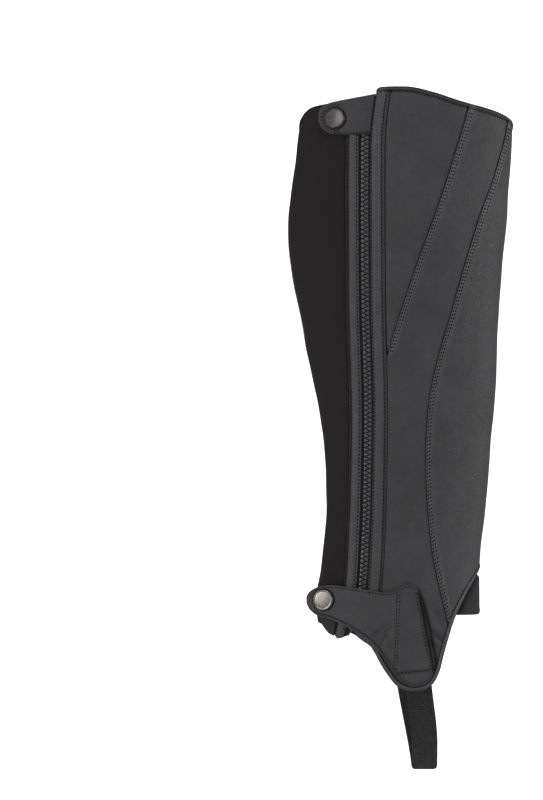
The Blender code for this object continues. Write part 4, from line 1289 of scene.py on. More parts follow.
@dataclass
class EdgeBindings:
    """The folded strips over the leather's top and bottom edges.

    A binding is a U-shaped band: each row of its grid is the edge line moved in by a drop and out by a distance.
    """

    outside: tuple[tuple[float, ...], ...] = (  # drop, out, and its painted shade, which is a painted highlight below 0
        (3.2, -2.9, 0), (2.2, -3.05, 0), (1.1, -2.9, 0), (0.5, -2.4, 0), (0.3, -1.7, 0), (0.3, -1.0, 0.3),
        (0.5, -0.35, 0.5), (0.9, 0.15, 0.5), (1.25, 0.32, 0.35), (1.6, 0.28, 0.3), (1.95, 0.5, -0.2),
        (2.3, 0.5, -0.25), (2.55, 0.35, 0.2), (2.7, 0.1, 0.45),
    )
    inside: tuple[tuple[float, ...], ...] = (  # drop, out
        (3.2, -2.56), (2.2, -2.58), (1.3, -2.5), (0.95, -2.1), (0.8, -1.6), (0.8, -1.1), (0.9, -0.6),
        (1.05, -0.25), (1.3, -0.1), (1.6, 0.0), (1.95, 0.03), (2.3, 0.03), (2.55, 0.03), (2.75, 0.03),
    )
    wider_below: float = 1.25  # how much wider the bottom one is
    painted_shade_less_below: float = 0.7  # and how much less painted shade it has
    foot: float = 3.4  # the drop below which the corner beside the zip leaves it as it is
    cell: float = 1.6
    over_strips: float = 0.75  # how much further out it lies where it covers the strips at its ends
    strip_end: float = 10.5  # how far from its ends that stops
    top_cut: Cut = Cut(10, 262, 2350, Held.FOLDED, ("outer_panel_leather",))
    bottom_cut: Cut = Cut(10, 372, 3350, Held.FOLDED, ("outer_panel_leather",))

    def build(self) -> None:
        """Makes and dresses both bindings."""
        ends = ZIP_LINE.moved(SEAMS.opening), BACK_SEAM.moved(SEAMS.back_strip - SEAMS.gap)
        for name, line, way, cut, wider, shade_less, radius in (
            ("top_binding", TOP_EDGE, 1, self.top_cut, 1.0, 0.0, SEAMS.corner),
            ("bottom_binding", BOTTOM_EDGE, -1, self.bottom_cut, self.wider_below, self.painted_shade_less_below, 0.0),
        ):
            gone = travelled(WALL.point(*WALL.between(line, *ends, 400).T))[-1]
            count = int(gone / self.cell)
            at = np.linspace(0, gone, count)
            over = 2 - ease((at - self.strip_end) / 4) - ease((gone - at - self.strip_end) / 4)
            grids = []
            for profile in (self.outside, self.inside):
                rows = []
                for drop, out in np.array(profile)[::way, :2] * (wider, 1.0):
                    places = WALL.between(WALL.lowered(line, way * drop), *ends, count)
                    places[:, 1] -= rolled(at, radius) * (1 - np.clip(drop / self.foot, 0, 1))
                    rows.append(WALL.offset(places, out + self.over_strips * over * ease((out + 1.2) / 1.2)))
                grids.append(np.stack(rows))
            outer, inner = grids
            flat = merge(travelled(outer, 1), -travelled(outer, 0))
            # painted shade under the roll and painted highlight on its crown, less painted shade on the bottom binding
            dark = np.repeat(np.array(self.outside)[::way, 2:], count, axis=1) - shade_less
            piece = wall_of_cloth(name + "_leather", outer, inner, flat, EDGE_LEATHER, dark)
            dress(piece, name, cut)


@dataclass
class Zip:
    """The zip: two leather strips, two woven tapes under them, moulded teeth and the slider at its foot."""

    strip_out: float = 0.4
    strip_thickness: float = 1.6
    crown: float = 1.2
    tape_start: float = 0.7
    tape_reach: float = 9.6
    tape_tops: tuple[float, float] = (90.8, 87.4)  # front and rear, hidden behind the tab
    tape_out: float = -1.7
    tape_thickness: float = 0.7
    ankle_painted_shade: float = 0.2  # how much painted shade the front strip has round the ankle
    ankle_painted_shade_place: tuple[float, float] = (-300.0, 190.0)  # the height of that, and how far it reaches
    pitch: float = 3.24
    top: float = 84.0
    bottom: float = -273.0
    tooth_out: float = -3.1
    slider_foot: float = -284.0
    slider_length: float = 10.0
    slider_out: float = -2.0
    cuts: tuple[tuple[float, float, float], ...] = (  # of the front and rear strips and tapes
        (10, 388, 3780), (10, 380, 3520), (10, 388, 3430), (10, 380, 3390),
    )

    def build(self) -> None:
        """Makes and dresses every part of the zip."""
        self.build_strips()
        self.build_tapes()
        dress(self.teeth(), "zip_chain")
        dress(self.slider(), "zip_slider")

    def build_strips(self) -> None:
        """The strips beside the teeth, each with a row of stitches near both edges."""
        # painted shade on the front strip, darkest round the ankle
        height, reach = self.ankle_painted_shade_place
        ankle_shade_band = Groove(level_line(height), width=reach, depth=0.0, dark=self.ankle_painted_shade)
        rows = SEAMS.bound(SEAMS.row_under_binding)
        # the strips' sides beside the teeth carry painted shade from their edge to their first row
        front_sides = Side(roll=0.7, rows=(1.0,)), Side(roll=0.6, rows=(2.3,), row_painted_shade=0.3, shade=0.4)
        rear_sides = Side(roll=0.6, rows=(2.2,), row_painted_shade=0.3, shade=0.75), Side(roll=0.7, rows=(1.3,))
        front = (SEAMS.opening, SEAMS.front_reach - HALF_GAP), SEAMS.bound(SEAMS.under_binding), front_sides
        rear = (HALF_GAP - SEAMS.rear_reach, -SEAMS.opening), (TOP_EDGE, BOTTOM_EDGE), rear_sides
        for end, face, (reaches, lines, sides), grooves, across, sizes in (
            ("front", Face.OUTER, front, (*SEAMS.bound_grooves(), ankle_shade_band), rows, self.cuts[0]),
            ("rear", Face.REAR, rear, (), (), self.cuts[1]),
        ):
            left, right = (ZIP_LINE.moved(reach, face) for reach in reaches)
            depths = self.strip_out, self.strip_thickness
            strip = CutPiece(left, right, *lines, *sides, *depths, 1.8, self.unevenness, self.crown, grooves)
            cut = Cut(*sizes, Held.LAID, (f"zip_{end}_tape_woven",))
            strip.sew(f"zip_{end}_strip", STRIP_LEATHER, "strip_leather", cut, across, rim=end == "rear")

    def unevenness(self, places: Array) -> Array:
        """A strip's slight unevenness along it: two slow sines of the height."""
        height = places[..., 1]
        return 0.1 * np.sin(height / 17.0) + 0.06 * np.sin(height / 7.3 + 1.0)

    def build_tapes(self) -> None:
        """The woven tapes that carry the teeth."""
        reaches = self.tape_start, self.tape_reach
        for end, face, (near, far), top, foot, sizes in (
            ("front", Face.OUTER, reaches, self.tape_tops[0], SEAMS.bound(SEAMS.under_binding)[1], self.cuts[2]),
            ("rear", Face.REAR, (-reaches[1], -reaches[0]), self.tape_tops[1], BOTTOM_EDGE, self.cuts[3]),
        ):
            left, right = ZIP_LINE.moved(near, face), ZIP_LINE.moved(far, face)
            tape = CutPiece(left, right, level_line(top), foot, THIN, THIN, self.tape_out, self.tape_thickness, 3.0)
            cut = Cut(*sizes, Held.LAID, (f"zip_{end}_strip_leather",))
            dress(tape.made(f"zip_{end}_tape_woven", ZIP_TAPE), f"zip_{end}_tape", cut)

    def tooth(self) -> SmallForm:
        """One tooth for the left tape: its outline on four levels, drawn in towards the top as a dome.

        The outline is a wide foot on the tape, a neck, and a head that hooks between the other side's heads.
        """
        half = ((-2.75, 1.0), (-2.4, 1.36), (-1.3, 1.36), (-0.75, 0.8), (-0.1, 0.42), (0.45, 0.5), (0.75, 0.3))
        half, centre = np.array(half), np.array([-1.3, 0.0])
        outline = np.concatenate([half * (1, -1), half[::-1]]) - centre
        levels = ((0.0, 0.94), (0.5, 1.0), (1.7, 0.97), (2.15, 0.72))
        rings = [np.insert(centre + outline * size, 2, level, axis=1) for level, size in levels]
        return SmallForm.stacked(np.stack(rings), np.append(centre, 0.0), np.append(centre, 2.25))

    def teeth(self) -> Any:
        """Both rows of teeth, the right row half a pitch below the left, each turned to the wall where it stands."""
        left = self.top - (np.arange(int((self.top - self.bottom) / self.pitch)) + 0.5) * self.pitch
        origins, frames = [], []
        for heights, way in ((left, 1), (left - self.pitch / 2, -1)):
            origin, higher = (
                WALL.offset(merge(ZIP_LINE.turn(at), at), self.tooth_out) for at in (heights, heights + 1)
            )
            out = WALL.normal(ZIP_LINE.turn(heights), heights)
            up = upright(higher - origin, out)
            origins.append(origin)
            frames.append(np.stack([np.cross(up, out) * way, up * way, out], axis=1))
        return self.tooth().set_down("zip_teeth_moulded", np.concatenate(origins), np.concatenate(frames), ACETAL)

    def slider(self) -> Any:
        """The slider's body: rings that widen from its foot to its shoulders, rounded as superellipses."""
        height = np.linspace(0, 1, 13)[:, None]
        wide = 2.9 * (0.72 + 0.28 * ease((height - 0.2) / 0.5))
        swell = (1 - (2 * height - 1) ** 8) ** 0.5 * 0.6 + 0.4
        turn = np.linspace(0, 2 * np.pi, 24, endpoint=False)
        c, s = np.cos(turn), np.sin(turn)
        reach = (np.abs(c) ** 3 + np.abs(s) ** 3) ** (-1 / 3)
        rings = merge(wide * swell * c * reach, height * self.slider_length, 2.1 * swell * -s * reach)
        form = SmallForm.stacked(rings, np.zeros(3), np.array([0, self.slider_length, 0.0]))
        heights = self.slider_foot + np.array([0, self.slider_length])
        turn = ZIP_LINE.turn(heights)
        points = WALL.offset(merge(turn, heights), self.slider_out)
        up = units(points[1] - points[0])
        out = upright(WALL.normal(turn, heights)[0], up)
        frame = np.stack([np.cross(up, out), up, out])[None]
        return form.set_down("zip_slider_body", points[:1], frame, ENAMELLED_ZINC)


# ------------------------------ tabs and straps
@dataclass(frozen=True)
class Outline:
    """A tab's flat outline, from its free end to its sewn end."""

    rows: tuple[tuple[float, ...], ...]  # X and height of the upper edge, X and height of the lower one

    def places(self, u: Array, v: Array) -> Array:
        """The (X, height) at shares along the tab and down it, on smooth curves through both edges."""
        edges = np.array(self.rows, float)
        middle = travelled((edges[:, :2] + edges[:, 2:]) / 2)
        top_x, top, foot_x, foot = (smooth(u, middle / middle[-1], column) for column in edges.T)
        return merge((1 - v) * top_x + v * foot_x, (1 - v) * top + v * foot)

    def beside(self, start: float, stop: float, down: float, inset: float, count: int = 110) -> Array:
        """A line beside the upper or lower edge.

        Args:
            start: the share along the tab where it starts.
            stop: the share where it ends.
            down: 0 for the upper edge and 1 for the lower one.
            inset: how far inside the edge it runs, in millimetres.
            count: how many points it has.

        Returns:
            (X, height) pairs.
        """
        u = np.linspace(start, stop, count)
        edge = self.places(u, np.full(count, down))
        along = units(np.gradient(edge, axis=0))
        inward = merge(along[:, 1], -along[:, 0])
        middle = self.places(u, np.full(count, 0.5)) - edge
        return edge + inward * inset * np.sign((inward * middle).sum(axis=1, keepdims=True))


@dataclass(frozen=True)
class Row:
    """A line on a tab as (X, height), with the groove that it makes and whether it is stitched."""

    line: Array
    groove: float = 0.2
    # the painted shade in its groove
    dark: float = 0.12
    width: float = 0.6
    stitched: bool = True


@dataclass
class FacedTab:
    """A leather tab that faces the outer side: an outline whose depth from the leg's middle plane is a function."""

    outline: Outline
    depth: Callable[[Array, Array], Array]
    thickness: float
    roll: float = 0.6
    rows: tuple[Row, ...] = ()
    cap: tuple[float, float] | None = None
    # The trough round the cap: its radius, width, depth and painted shade.
    cap_ring: tuple[float, float, float, float] = (7.4, 0.6, 0.25, 0.8)
    more: Callable[[Array, Array], Array] | None = None
    along: int = 90
    down: int = 44

    def relief(self, x: Array, height: Array) -> tuple[Array, Array]:
        """How far the leather rises, and its painted shade in the grooves: a bell for each row and for the cap's rim.
        """
        rise = self.more(x, height) if self.more else np.zeros_like(x)
        deep = np.zeros_like(x)
        for row in self.rows:
            away = (x[..., None] - row.line[:, 0]) ** 2 + (height[..., None] - row.line[:, 1]) ** 2
            near = bell(np.sqrt(away.min(axis=-1)), row.width)
            rise, deep = rise - row.groove * near, np.maximum(deep, row.dark * near)
        if self.cap:
            radius, width, depth, dark = self.cap_ring
            near = bell(np.hypot(x - self.cap[0], height - self.cap[1]) - radius, width)
            rise, deep = rise - depth * near, np.maximum(deep, dark * near)
        return rise, deep

    def face(self, x: Array, height: Array, step: float = 0.5) -> tuple[Array, Array]:
        """Points (X, -depth, height) without relief, and the outward directions of the depth's slopes."""
        slope_x = (self.depth(x + step, height) - self.depth(x - step, height)) / (2 * step)
        slope_z = (self.depth(x, height + step) - self.depth(x, height - step)) / (2 * step)
        return merge(x, -self.depth(x, height), height), units(merge(-slope_x, -1.0, -slope_z))

    def made(self, name: str, finish: Finish) -> Any:
        """The tab's closed wall, with its edges rounded over."""
        close = np.array([0, 0.004, 0.012, 0.024, 0.04])
        counts = self.along, self.down
        ways = (np.concatenate([close, np.linspace(0.055, 0.945, n), 1 - close[::-1]]) for n in counts)
        places = self.outline.places(*np.meshgrid(*ways))
        gone_x, gone_z = travelled(places, 1), travelled(places, 0)
        nearest = np.minimum(np.minimum(gone_x, gone_x[:, -1:] - gone_x), np.minimum(gone_z, gone_z[-1:] - gone_z))
        x, height = places[..., 0], places[..., 1]
        face, out = self.face(x, height)
        rise, deep = self.relief(x, height)
        outer = face + out * (rise - rolled(nearest, self.roll))[..., None]
        return wall_of_cloth(name, outer, face - out * self.thickness, merge(gone_x, -gone_z), finish, deep)

    def stitched(self, name: str) -> Any:
        """The stitches of its stitched rows."""
        stitching = Stitching(name, pitch=2.4, length=1.6, thickness=0.7)
        for line in (row.line.T for row in self.rows if row.stitched):
            face, out = self.face(*line)
            stitching.add(face + out * self.relief(*line)[0][:, None], out)
        return stitching.made()

    def sew(self, node: str, cut: Cut) -> None:
        """Makes and dresses the tab and its stitches."""
        stitches = dress(self.stitched(node + "_stitches"), None)
        dress(self.made(node + "_leather", PANEL_LEATHER), node, cut)


@dataclass
class TopTab:
    """The snap tab at the top of the zip, sewn under the front strip and snapped on the stretch cloth's side."""

    outline: Outline = Outline((
        (-55.2, 78.2, -55.2, 72.8), (-54.0, 81.2, -54.0, 69.8), (-51.5, 83.6, -51.6, 66.6), (-47.8, 85.3, -47.8, 64.2),
        (-42.0, 86.7, -42.6, 63.0), (-34.0, 88.2, -34.0, 62.9), (-27.0, 89.5, -27.0, 63.2), (-22.5, 90.3, -22.5, 63.5),
        (-15.0, 91.7, -18.4, 63.6),
    ))
    lift: Curve = Curve((  # how far it stands off the wall, by its distance from the zip
        (-37, 5.1), (-28, 4.6), (-21, 4.0), (-13.5, 3.2), (-6.5, 2.7), (-3.6, 2.4), (0, 1.6), (2.5, 1.15), (4, 1.0),
    ))
    thickness: float = 1.4
    cap: tuple[float, float] = (-43.4, 74.4)
    rounds: tuple[float, float] = (9.9, 8.5)  # radii of the rows round the cap
    cut: Cut = Cut(42, 28, 950, Held.LAID, ("stretch_panel_knit", "zip_front_strip_leather"))

    def depth(self, x: Array, height: Array) -> Array:
        """How far its face lies from the middle plane: on the wall's own place, moved out by its lift."""
        return WALL.depth(x, height, self.lift.at(x - ZIP_LINE.line.at(height)))

    def build(self) -> None:
        """Makes and dresses the tab: rows round its end, grooves beside the strip and over its rolled lower edge, with
        painted shadow beside the strip and painted shade over the edge.
        """
        turn = np.radians(np.linspace(70, 290, 60))
        rounds = (Row(self.cap + reach * merge(np.cos(turn), np.sin(turn))) for reach in self.rounds)
        heights = np.linspace(92, 63, 40)
        beside_strip = merge(ZIP_LINE.line.at(heights) + SEAMS.opening - 0.2, heights)
        lower_edge = self.outline.beside(0.3, 1.0, 1.0, 0.5, 70)
        # painted shadow beside the strip, where the tab goes under it, and painted shade over its rolled lower edge
        rows = (*rounds, Row(beside_strip, 0.2, 0.9, 0.8, False), Row(lower_edge, 0.5, 0.6, 1.5, False))
        FacedTab(self.outline, self.depth, self.thickness, rows=rows, cap=self.cap).sew("top_tab", self.cut)


@dataclass
class AnkleStrap:
    """The strap from the flap over the zip's foot to the back, its patch sewn on the flap, and the tab under it."""

    outline: Outline = Outline((
        (-63.8, -260.4, -63.8, -264.4), (-62.6, -257.8, -62.2, -268.0), (-60.0, -255.4, -59.6, -271.0),
        (-55.0, -253.0, -55.0, -273.8), (-46.0, -252.0, -46.0, -276.2), (-36.0, -253.0, -36.4, -280.7),
        (-26.0, -254.5, -27.3, -286.0), (-16.0, -256.0, -18.2, -292.6), (-9.0, -256.9, -11.6, -300.0),
        (-3.4, -256.5, -5.0, -309.4), (1.0, -254.2, 1.6, -318.6), (5.0, -252.0, 7.6, -322.2),
        (9.4, -251.3, 13.8, -323.0), (13.0, -253.6, 20.0, -321.0), (15.6, -258.8, 24.4, -316.8),
        (18.0, -266.0, 26.6, -310.0),
    ))
    own_sheet: Curve = Curve((  # depth by X
        (-68, 21.0), (-60, 24.4), (-52, 27.6), (-44, 30.6), (-36, 33.0), (-28, 34.7), (-20, 35.4), (-10, 35.4),
        (0, 35.2),
    ))
    base_outline: Outline = Outline((
        (-58.4, -259.0, -58.4, -264.6), (-57.0, -256.4, -56.4, -271.6), (-53.0, -254.8, -53.6, -278.0),
        (-47.0, -254.2, -49.0, -284.8), (-38.8, -254.4, -44.6, -287.6),
    ))
    seat: tuple[float, float] = (-20.0, -6.0)
    clear: float = 0.8
    thickness: float = 1.6
    base_thickness: float = 1.4
    stud_room: float = 2.0
    layer_gap: float = 0.35
    cap: tuple[float, float] = (-51.6, -262.4)
    patch: tuple[tuple[float, ...], ...] = (  # height, X of its left and its right stitched line
        (-250, 1.3, 11.5), (-256, 1.1, 12.6), (-313, -1.3, 23.5),
    )
    foot: tuple[float, float] = (-313.4, -311.4)  # the heights of the patch's foot at two X
    foot_x: tuple[float, float] = (0, 22)
    folds: tuple[tuple[float, ...], ...] = (  # X, height, angle, length, width, depth
        (-12.5, -284, 42, 16, 2.0, 2.0), (-9, -279.5, 36, 14, 1.8, -1.2), (-8.5, -289, 62, 18, 2.0, 1.4),
        (-30, -268, 12, 30, 5.0, 0.6), (-44, -258, 4, 26, 3.5, 0.4), (8, -285, 84, 46, 6.0, -0.35),
    )
    cut: Cut = Cut(104, 72, 4000, Held.LAID, ("outer_panel_leather", "zip_rear_strip_leather"))
    base_cut: Cut = Cut(22, 34, 460, Held.LAID, ("stretch_panel_knit",))

    def depth(self, x: Array, height: Array) -> Array:
        """The strap's face: its own sheet behind the flap, eased onto the flap's leather ahead of it."""
        on_leather, own = WALL.depth(x, height, self.clear + self.thickness), self.own_sheet.at(x)
        return own + (on_leather - own) * ease((x - self.seat[0]) / (self.seat[1] - self.seat[0]))

    def base_depth(self, x: Array, height: Array) -> Array:
        """The face of the tab under the strap's end: room for the stud behind the strap, or on the stretch cloth."""
        on_stretch = WALL.depth(x, height, self.layer_gap + self.base_thickness)
        return np.maximum(self.depth(x, height) - self.thickness - self.stud_room, on_stretch)

    def sides(self, height: Array) -> tuple[Array, Array]:
        """The X of the patch's left and right stitched lines at each height."""
        at, left, right = np.array(self.patch[::-1], float).T
        return np.interp(height, at, left), np.interp(height, at, right)

    def shape(self, x: Array, height: Array) -> Array:
        """The strap's own shape: the patch stands up at its left line and its foot, and soft folds run beside it."""
        left, _ = self.sides(height)
        foot = np.interp(x, self.foot_x, self.foot)
        rise = 0.4 * ease((x - left) / 0.9 + 0.5) * ease((height - foot) / 1.2 + 0.5)
        for x0, z0, angle, length, width, depth in self.folds:
            c, s = np.cos(np.radians(angle)), np.sin(np.radians(angle))
            along, across = (x - x0) * c + (height - z0) * s, (height - z0) * c - (x - x0) * s
            rise = rise - depth * bell(across, width) * bell(along, length / 2, 4)
        return rise

    def rows(self) -> tuple[Row, ...]:
        """The rows round its edges and round the patch."""
        heights, across = np.linspace(-257.5, -311.8, 70), np.linspace(-0.6, 22.4, 40)
        left, right = self.sides(heights)
        down = [merge(x, heights) for x in (left - 0.9, left + 0.9, right, right + 1.6, right + 2.9)]
        # Each row's dark is painted shade in its groove; the unstitched one beside the patch's right line is the
        # painted shadow of the strap's edge, and the lower edge's two unstitched rows are painted shade inside its rim.
        return (
            Row(self.outline.beside(0.97, 0.06, 0.0, 1.6)),
            Row(self.outline.beside(0.05, 0.62, 1.0, 1.9), 0.4, 0.75, 0.7, False),
            Row(self.outline.beside(0.6, 0.985, 1.0, 1.6), 0.3, 0.45, 1.5, False),
            Row(down[0]),
            Row(down[1]),
            Row(down[2], 0.3, 0.2),
            Row(down[3], 0.3, 0.3),
            Row(down[4], 0.6, 1.0, 1.7, False),
            Row(merge(across, np.interp(across, self.foot_x, self.foot)), 0.4, 0.5, 1.1),
        )

    def build(self) -> None:
        """Makes and dresses the strap, its stitches and the tab under its end."""
        shown = {"cap": self.cap, "more": self.shape, "along": 150, "down": 80}
        FacedTab(self.outline, self.depth, self.thickness, 0.9, self.rows(), **shown).sew("ankle_strap", self.cut)
        base = FacedTab(self.base_outline, self.base_depth, self.base_thickness, along=30, down=30)
        dress(base.made("snap_base_leather", SHADED_BASE_LEATHER), "snap_base", self.base_cut)


@dataclass
class Snaps:
    """Two pressed snap caps, plain domes with a raised rim and a fine groove inside it, over their studs."""

    radius: float = 7.25
    height: float = 1.7
    lift: float = 0.1
    around: int = 48
    # The section outside the dome: how far in from the radius and how far below the height.
    rim: tuple[tuple[float, float], ...] = (
        (1.0, 0.42), (0.88, 0.36), (0.78, 0.1), (0.6, 0.0), (0.4, 0.04), (0.12, 0.3), (0.0, 0.75), (0.0, 1.15),
        (0.25, 1.45), (0.6, 1.7), (3.625, 1.7),
    )

    def cap(self, dish: float) -> SmallForm:
        """A cap as a section turned round its axis, with its middle sunk by a dish."""
        share = np.linspace(0.06, 0.8, 9)
        dome = merge(self.radius * share, self.height - 0.38 + (0.3 - dish) * (1 - (share / 0.8) ** 2))
        section = np.concatenate([dome, (self.radius, self.height) - np.array(self.rim)])
        radius, height = section[:, :1], section[:, 1:]
        turn = -np.linspace(0, 2 * np.pi, self.around, endpoint=False)
        rings = merge(radius * np.cos(turn), radius * np.sin(turn), height)
        return SmallForm.stacked(rings, (0.0, 0.0, section[0, 1]), (0.0, 0.0, section[-1, 1]))

    def build(self, tab: TopTab, strap: AnkleStrap) -> None:
        """Makes and dresses the caps, and gives the studs their finish.

        Args:
            tab: the top tab, which carries one cap.
            strap: the ankle strap, which carries the other.
        """
        for node, (x, height), depth, finish, dish in (
            ("top_snap", tab.cap, tab.depth, SHADED_NICKEL, 0.6),
            ("ankle_snap", strap.cap, strap.depth, LIT_NICKEL, 0.1),
        ):
            xs, heights = np.array([x, x + 1, x]), np.array([height, height, height + 1])
            points = merge(xs, -depth(xs, heights), heights)
            out = units(np.cross(points[1] - points[0], points[2] - points[0]))
            side = units(np.cross(out, (0.0, 0.0, 1.0)))
            frame = np.stack([side, np.cross(out, side), out])[None]
            cap = self.cap(dish).set_down(node + "_cap_nickel", points[:1] + out * self.lift, frame, finish)
            dress(cap, node + "_cap")
            stud = bpy.data.objects[node + "_stud"]
            stud.data.materials.clear()
            stud.data.materials.append(NICKEL_STUD.made())


@dataclass
class InstepTab:
    """The plain dark tab that hangs below the shin, from behind the leather out to the leather's face."""

    top: float = -226.0
    foot: float = -273.0
    back_outer: float = 31.0
    back_inner: float = 26.0
    depth_in: float = 3.6
    flare: float = 3.8
    flare_drop: float = 5.0
    hem: float = 5.6
    hem_roll: float = 2.6
    thickness: float = 1.4
    cut: Cut = Cut(112, 46, 4700, Held.HUNG, ("shin_panel_leather",))

    def out(self, places: Array) -> Array:
        """It comes out, eased, just below the leather's edge, and its hem is a little thicker."""
        line, above_foot = BOTTOM_EDGE[::-1], places[..., 1] - self.foot
        leather_ends = np.interp(places[..., 0], line[:, 0], line[:, 1])
        hem = 0.3 * ease((self.hem - 0.1 - above_foot) / 0.8) - 0.2 * bell(above_foot - self.hem, 0.6)
        flare = self.flare * ease((leather_ends - 1.0 - places[..., 1]) / self.flare_drop)
        return flare + hem - rolled(above_foot, self.hem_roll)

    def build(self) -> None:
        """Makes and dresses the tab."""
        backs = (Face.OUTER, self.back_outer), (Face.INNER, self.back_inner)
        left, right = (Seam(face, Curve(((0, x), (-400, x)))) for face, x in backs)
        edges, side = (level_line(self.top), level_line(self.foot)), Side(roll=0.6)
        piece = CutPiece(left, right, *edges, side, side, -self.depth_in, self.thickness, 1.6, self.out)
        dress(piece.made("instep_tab_cloth", HEM_TAPE, rim=True), "instep_tab", self.cut)


@dataclass
class Stirrup:
    """The loop of elastic webbing under the foot: a flat band along a path in the plane across the leg."""

    width: float = 18.2
    thickness: float = 1.5
    depth_in: float = 3.5
    top: float = -306.0
    loop_start: float = -352.0
    loop_foot: float = -381.5
    loop_half: float = 25.6
    curl: float = 2.6  # how far its edges curl up at the foot
    rib: float = 2.5  # from rib to rib, and how high the ribs stand
    rib_height: float = 0.06
    middle_x: tuple[float, float, float] = (14.2, 19.3, 7.4)  # at its outer end, at the foot, at its inner end
    swung: float = -364.0  # the height at which its outer side has come to the foot's middle
    straight_steps: int = 26
    bend_steps: int = 30
    cut: Cut = Cut(18.2, 190, 3450, Held.HUNG, ("outer_panel_leather", "inner_panel_leather"))

    def side(self, face: Face, x_top: float) -> Array:
        """The band's middle line from its sewn end to the foot: straight down, then a quarter ellipse."""
        outer = face is Face.OUTER
        straight = np.linspace(self.top, self.loop_start, self.straight_steps)[:-1]
        bend = np.radians(np.linspace(0, 90, self.bend_steps))
        height = np.concatenate([straight, self.loop_start + (self.loop_foot - self.loop_start) * np.sin(bend)])
        share = (self.top - height) / (self.top - (self.swung if outer else self.loop_foot))
        x = x_top + (self.middle_x[1] - x_top) * (ease(share) if outer else 0.5 * (share + ease(share)))
        level = np.full(3, self.top)
        turn = WALL.place(face, x_top + np.array([-0.5, 0, 0.5]) * self.width, level)
        start = np.abs((WALL.point(turn, level) - WALL.normal(turn, level) * self.depth_in)[:, 1]).min()
        hanging = start + (self.loop_half - start) * ease((self.top - straight) / (self.top - self.loop_start))
        depth = np.concatenate([hanging, self.loop_half * np.cos(bend)])
        return merge(x, -depth if outer else depth, height)

    def build(self) -> None:
        """Makes and dresses the webbing, with thin selvedges and ribs that stand a little proud."""
        down, up = self.side(Face.OUTER, self.middle_x[0]), self.side(Face.INNER, self.middle_x[2])
        path = np.concatenate([down, up[::-1][1:]])
        outward = units(np.cross(np.gradient(path, axis=0), (1.0, 0.0, 0.0)))[:, None]
        edge = np.array([0.5, 0.492, 0.475, 0.44])
        across = np.concatenate([-edge, np.linspace(-0.4, 0.4, 33), edge[::-1]])
        from_edge, along = (0.5 - np.abs(across)) * self.width, across * self.width
        ribs = self.rib_height * np.sin(along * 2 * np.pi / self.rib) * ease(from_edge - 1)
        rise = ribs - rolled(from_edge, 0.5)
        middle = path[:, None] + across[:, None] * np.array([self.width, 0.0, 0.0])
        at_foot = ease((self.loop_start - path[:, 2]) / (self.loop_start - self.loop_foot))
        curl = at_foot[:, None] * rolled(from_edge, self.curl)
        front = middle + outward * (rise - curl)[..., None]
        back = middle - outward * (self.thickness + rise + curl)[..., None]
        flat = merge(along, -travelled(path)[:, None])
        piece = wall_of_cloth("stirrup_strap_webbing", front, back, flat, WEBBING)
        dress(piece, "stirrup_strap", self.cut)


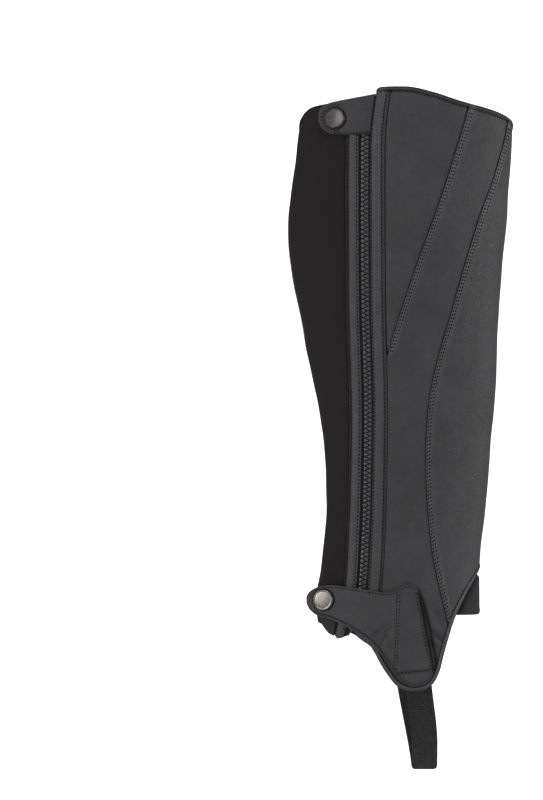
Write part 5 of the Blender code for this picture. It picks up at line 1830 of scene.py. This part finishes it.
# ------------------------------ studio
@dataclass
class Studio:
    """The camera at the photograph's viewing angle, a pale sweep for floor and backdrop, and soft light."""

    camera_place: tuple[float, float, float] = (-0.08785, -10.0, -0.1225)
    lens: float = 427.7
    sensor: float = 24.0
    front: float = -12.0
    floor: float = -0.47
    back: float = 4.5
    bend: float = 1.2
    ceiling: float = 6.0
    half_width: float = 8.0
    surround: float = 0.25
    dome: float = 13.0
    aim: tuple[float, float, float] = (0.0, 0.0, -0.12)
    lights: tuple[tuple[str, tuple[float, float, float], float, float], ...] = (  # name, place, side, power
        ("left", (-3.2, -2.3, 0.7), 1.5, 46.0),
        ("right", (3.0, -0.35, 0.1), 1.1, 36.0),
        ("top", (0.2, -1.6, 3.0), 1.4, 32.0),
    )

    def build(self) -> None:
        """Makes the camera, the sweep, the surround and the lights."""
        self.build_camera()
        self.build_sweep()
        self.build_dome()
        scene = bpy.context.scene
        scene.world = bpy.data.worlds.new("soft_surround")
        scene.world.use_nodes = True
        feed(scene.world.node_tree.nodes["Background"], {"Color": (1.0, 1.0, 1.0, 1.0), "Strength": self.surround})
        scene.view_settings.view_transform = "Standard"
        for light in self.lights:
            self.add_light(*light)

    def build_camera(self) -> None:
        """The camera looks straight along +Y."""
        data = bpy.data.cameras.new("camera")
        data.sensor_fit, data.sensor_height, data.lens = "VERTICAL", self.sensor, self.lens
        camera = bpy.data.objects.new("camera", data)
        camera.location, camera.rotation_euler = self.camera_place, (np.pi / 2, 0.0, 0.0)
        bpy.context.scene.collection.objects.link(camera)
        bpy.context.scene.camera = camera

    def build_sweep(self) -> None:
        """The sweep's section runs level, turns up in a quarter circle and rises straight; clear from behind."""
        turn = np.linspace(0, np.pi / 2, 24)
        y = np.concatenate([[self.front], self.back - self.bend + self.bend * np.sin(turn), [self.back]])
        z = np.concatenate([[0.0], self.bend * (1 - np.cos(turn)), [self.ceiling]]) + self.floor
        x = np.linspace(-self.half_width, self.half_width, 5)
        rows = merge(x, y[:, None], z[:, None])
        quads = quads_of(np.arange(rows.shape[0] * 5).reshape(-1, 5).T)
        sweep = new_piece("pale_sweep", rows.reshape(-1, 3) / MM, [quads], SWEEP_PAPER)
        tree = sweep.data.materials[0].node_tree
        behind = add_node(tree, "NewGeometry").outputs["Backfacing"]
        inputs = {0: behind, 1: tree.nodes["Principled BSDF"], 2: add_node(tree, "BsdfTransparent")}
        feed(tree.nodes["Material Output"], {0: add_node(tree, "MixShader", inputs)})
        sweep.visible_glossy = False

    def build_dome(self) -> None:
        """A white ball far outside everything, seen only by the camera, for the views from behind and below."""
        across, up = np.meshgrid(np.linspace(0, 2 * np.pi, 49), np.linspace(-0.5 * np.pi, 0.5 * np.pi, 25))
        ball = merge(np.cos(up) * np.cos(across), np.cos(up) * np.sin(across), np.sin(up))
        quads = quads_of(np.arange(across.size).reshape(across.shape).T)
        dome = new_piece("white_surround", ball.reshape(-1, 3) * self.dome / MM, [quads], SURROUND_WHITE)
        for ray in ("diffuse", "glossy", "transmission", "volume_scatter", "shadow"):
            setattr(dome, "visible_" + ray, False)

    def add_light(self, name: str, place: tuple[float, float, float], size: float, power: float) -> None:
        """A square soft light aimed at the middle of the piece.

        Args:
            name: its name.
            place: where it stands, in metres.
            size: its side, in metres.
            power: its power, in watts.
        """
        data = bpy.data.lights.new(name, "AREA")
        data.size, data.energy = size, power
        light = bpy.data.objects.new(name, data)
        x, y, z = (np.array(self.aim) - place).tolist()
        light.location = place
        light.rotation_euler = (float(np.arctan2(np.hypot(x, y), -z)), 0.0, float(np.arctan2(-x, y)))
        bpy.context.scene.collection.objects.link(light)


def main() -> None:
    """Builds every sub-assembly over the frame."""
    logging.basicConfig(level=logging.INFO, format="%(name)s: %(message)s")
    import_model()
    for assembly in (Studio(), LeatherPanels(), BackPieces(), EdgeBindings(), Zip()):
        assembly.build()
    tab, strap = TopTab(), AnkleStrap()
    tab.build()
    strap.build()
    Snaps().build(tab, strap)
    InstepTab().build()
    Stirrup().build()
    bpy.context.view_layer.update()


if __name__ == "__main__":
    main()
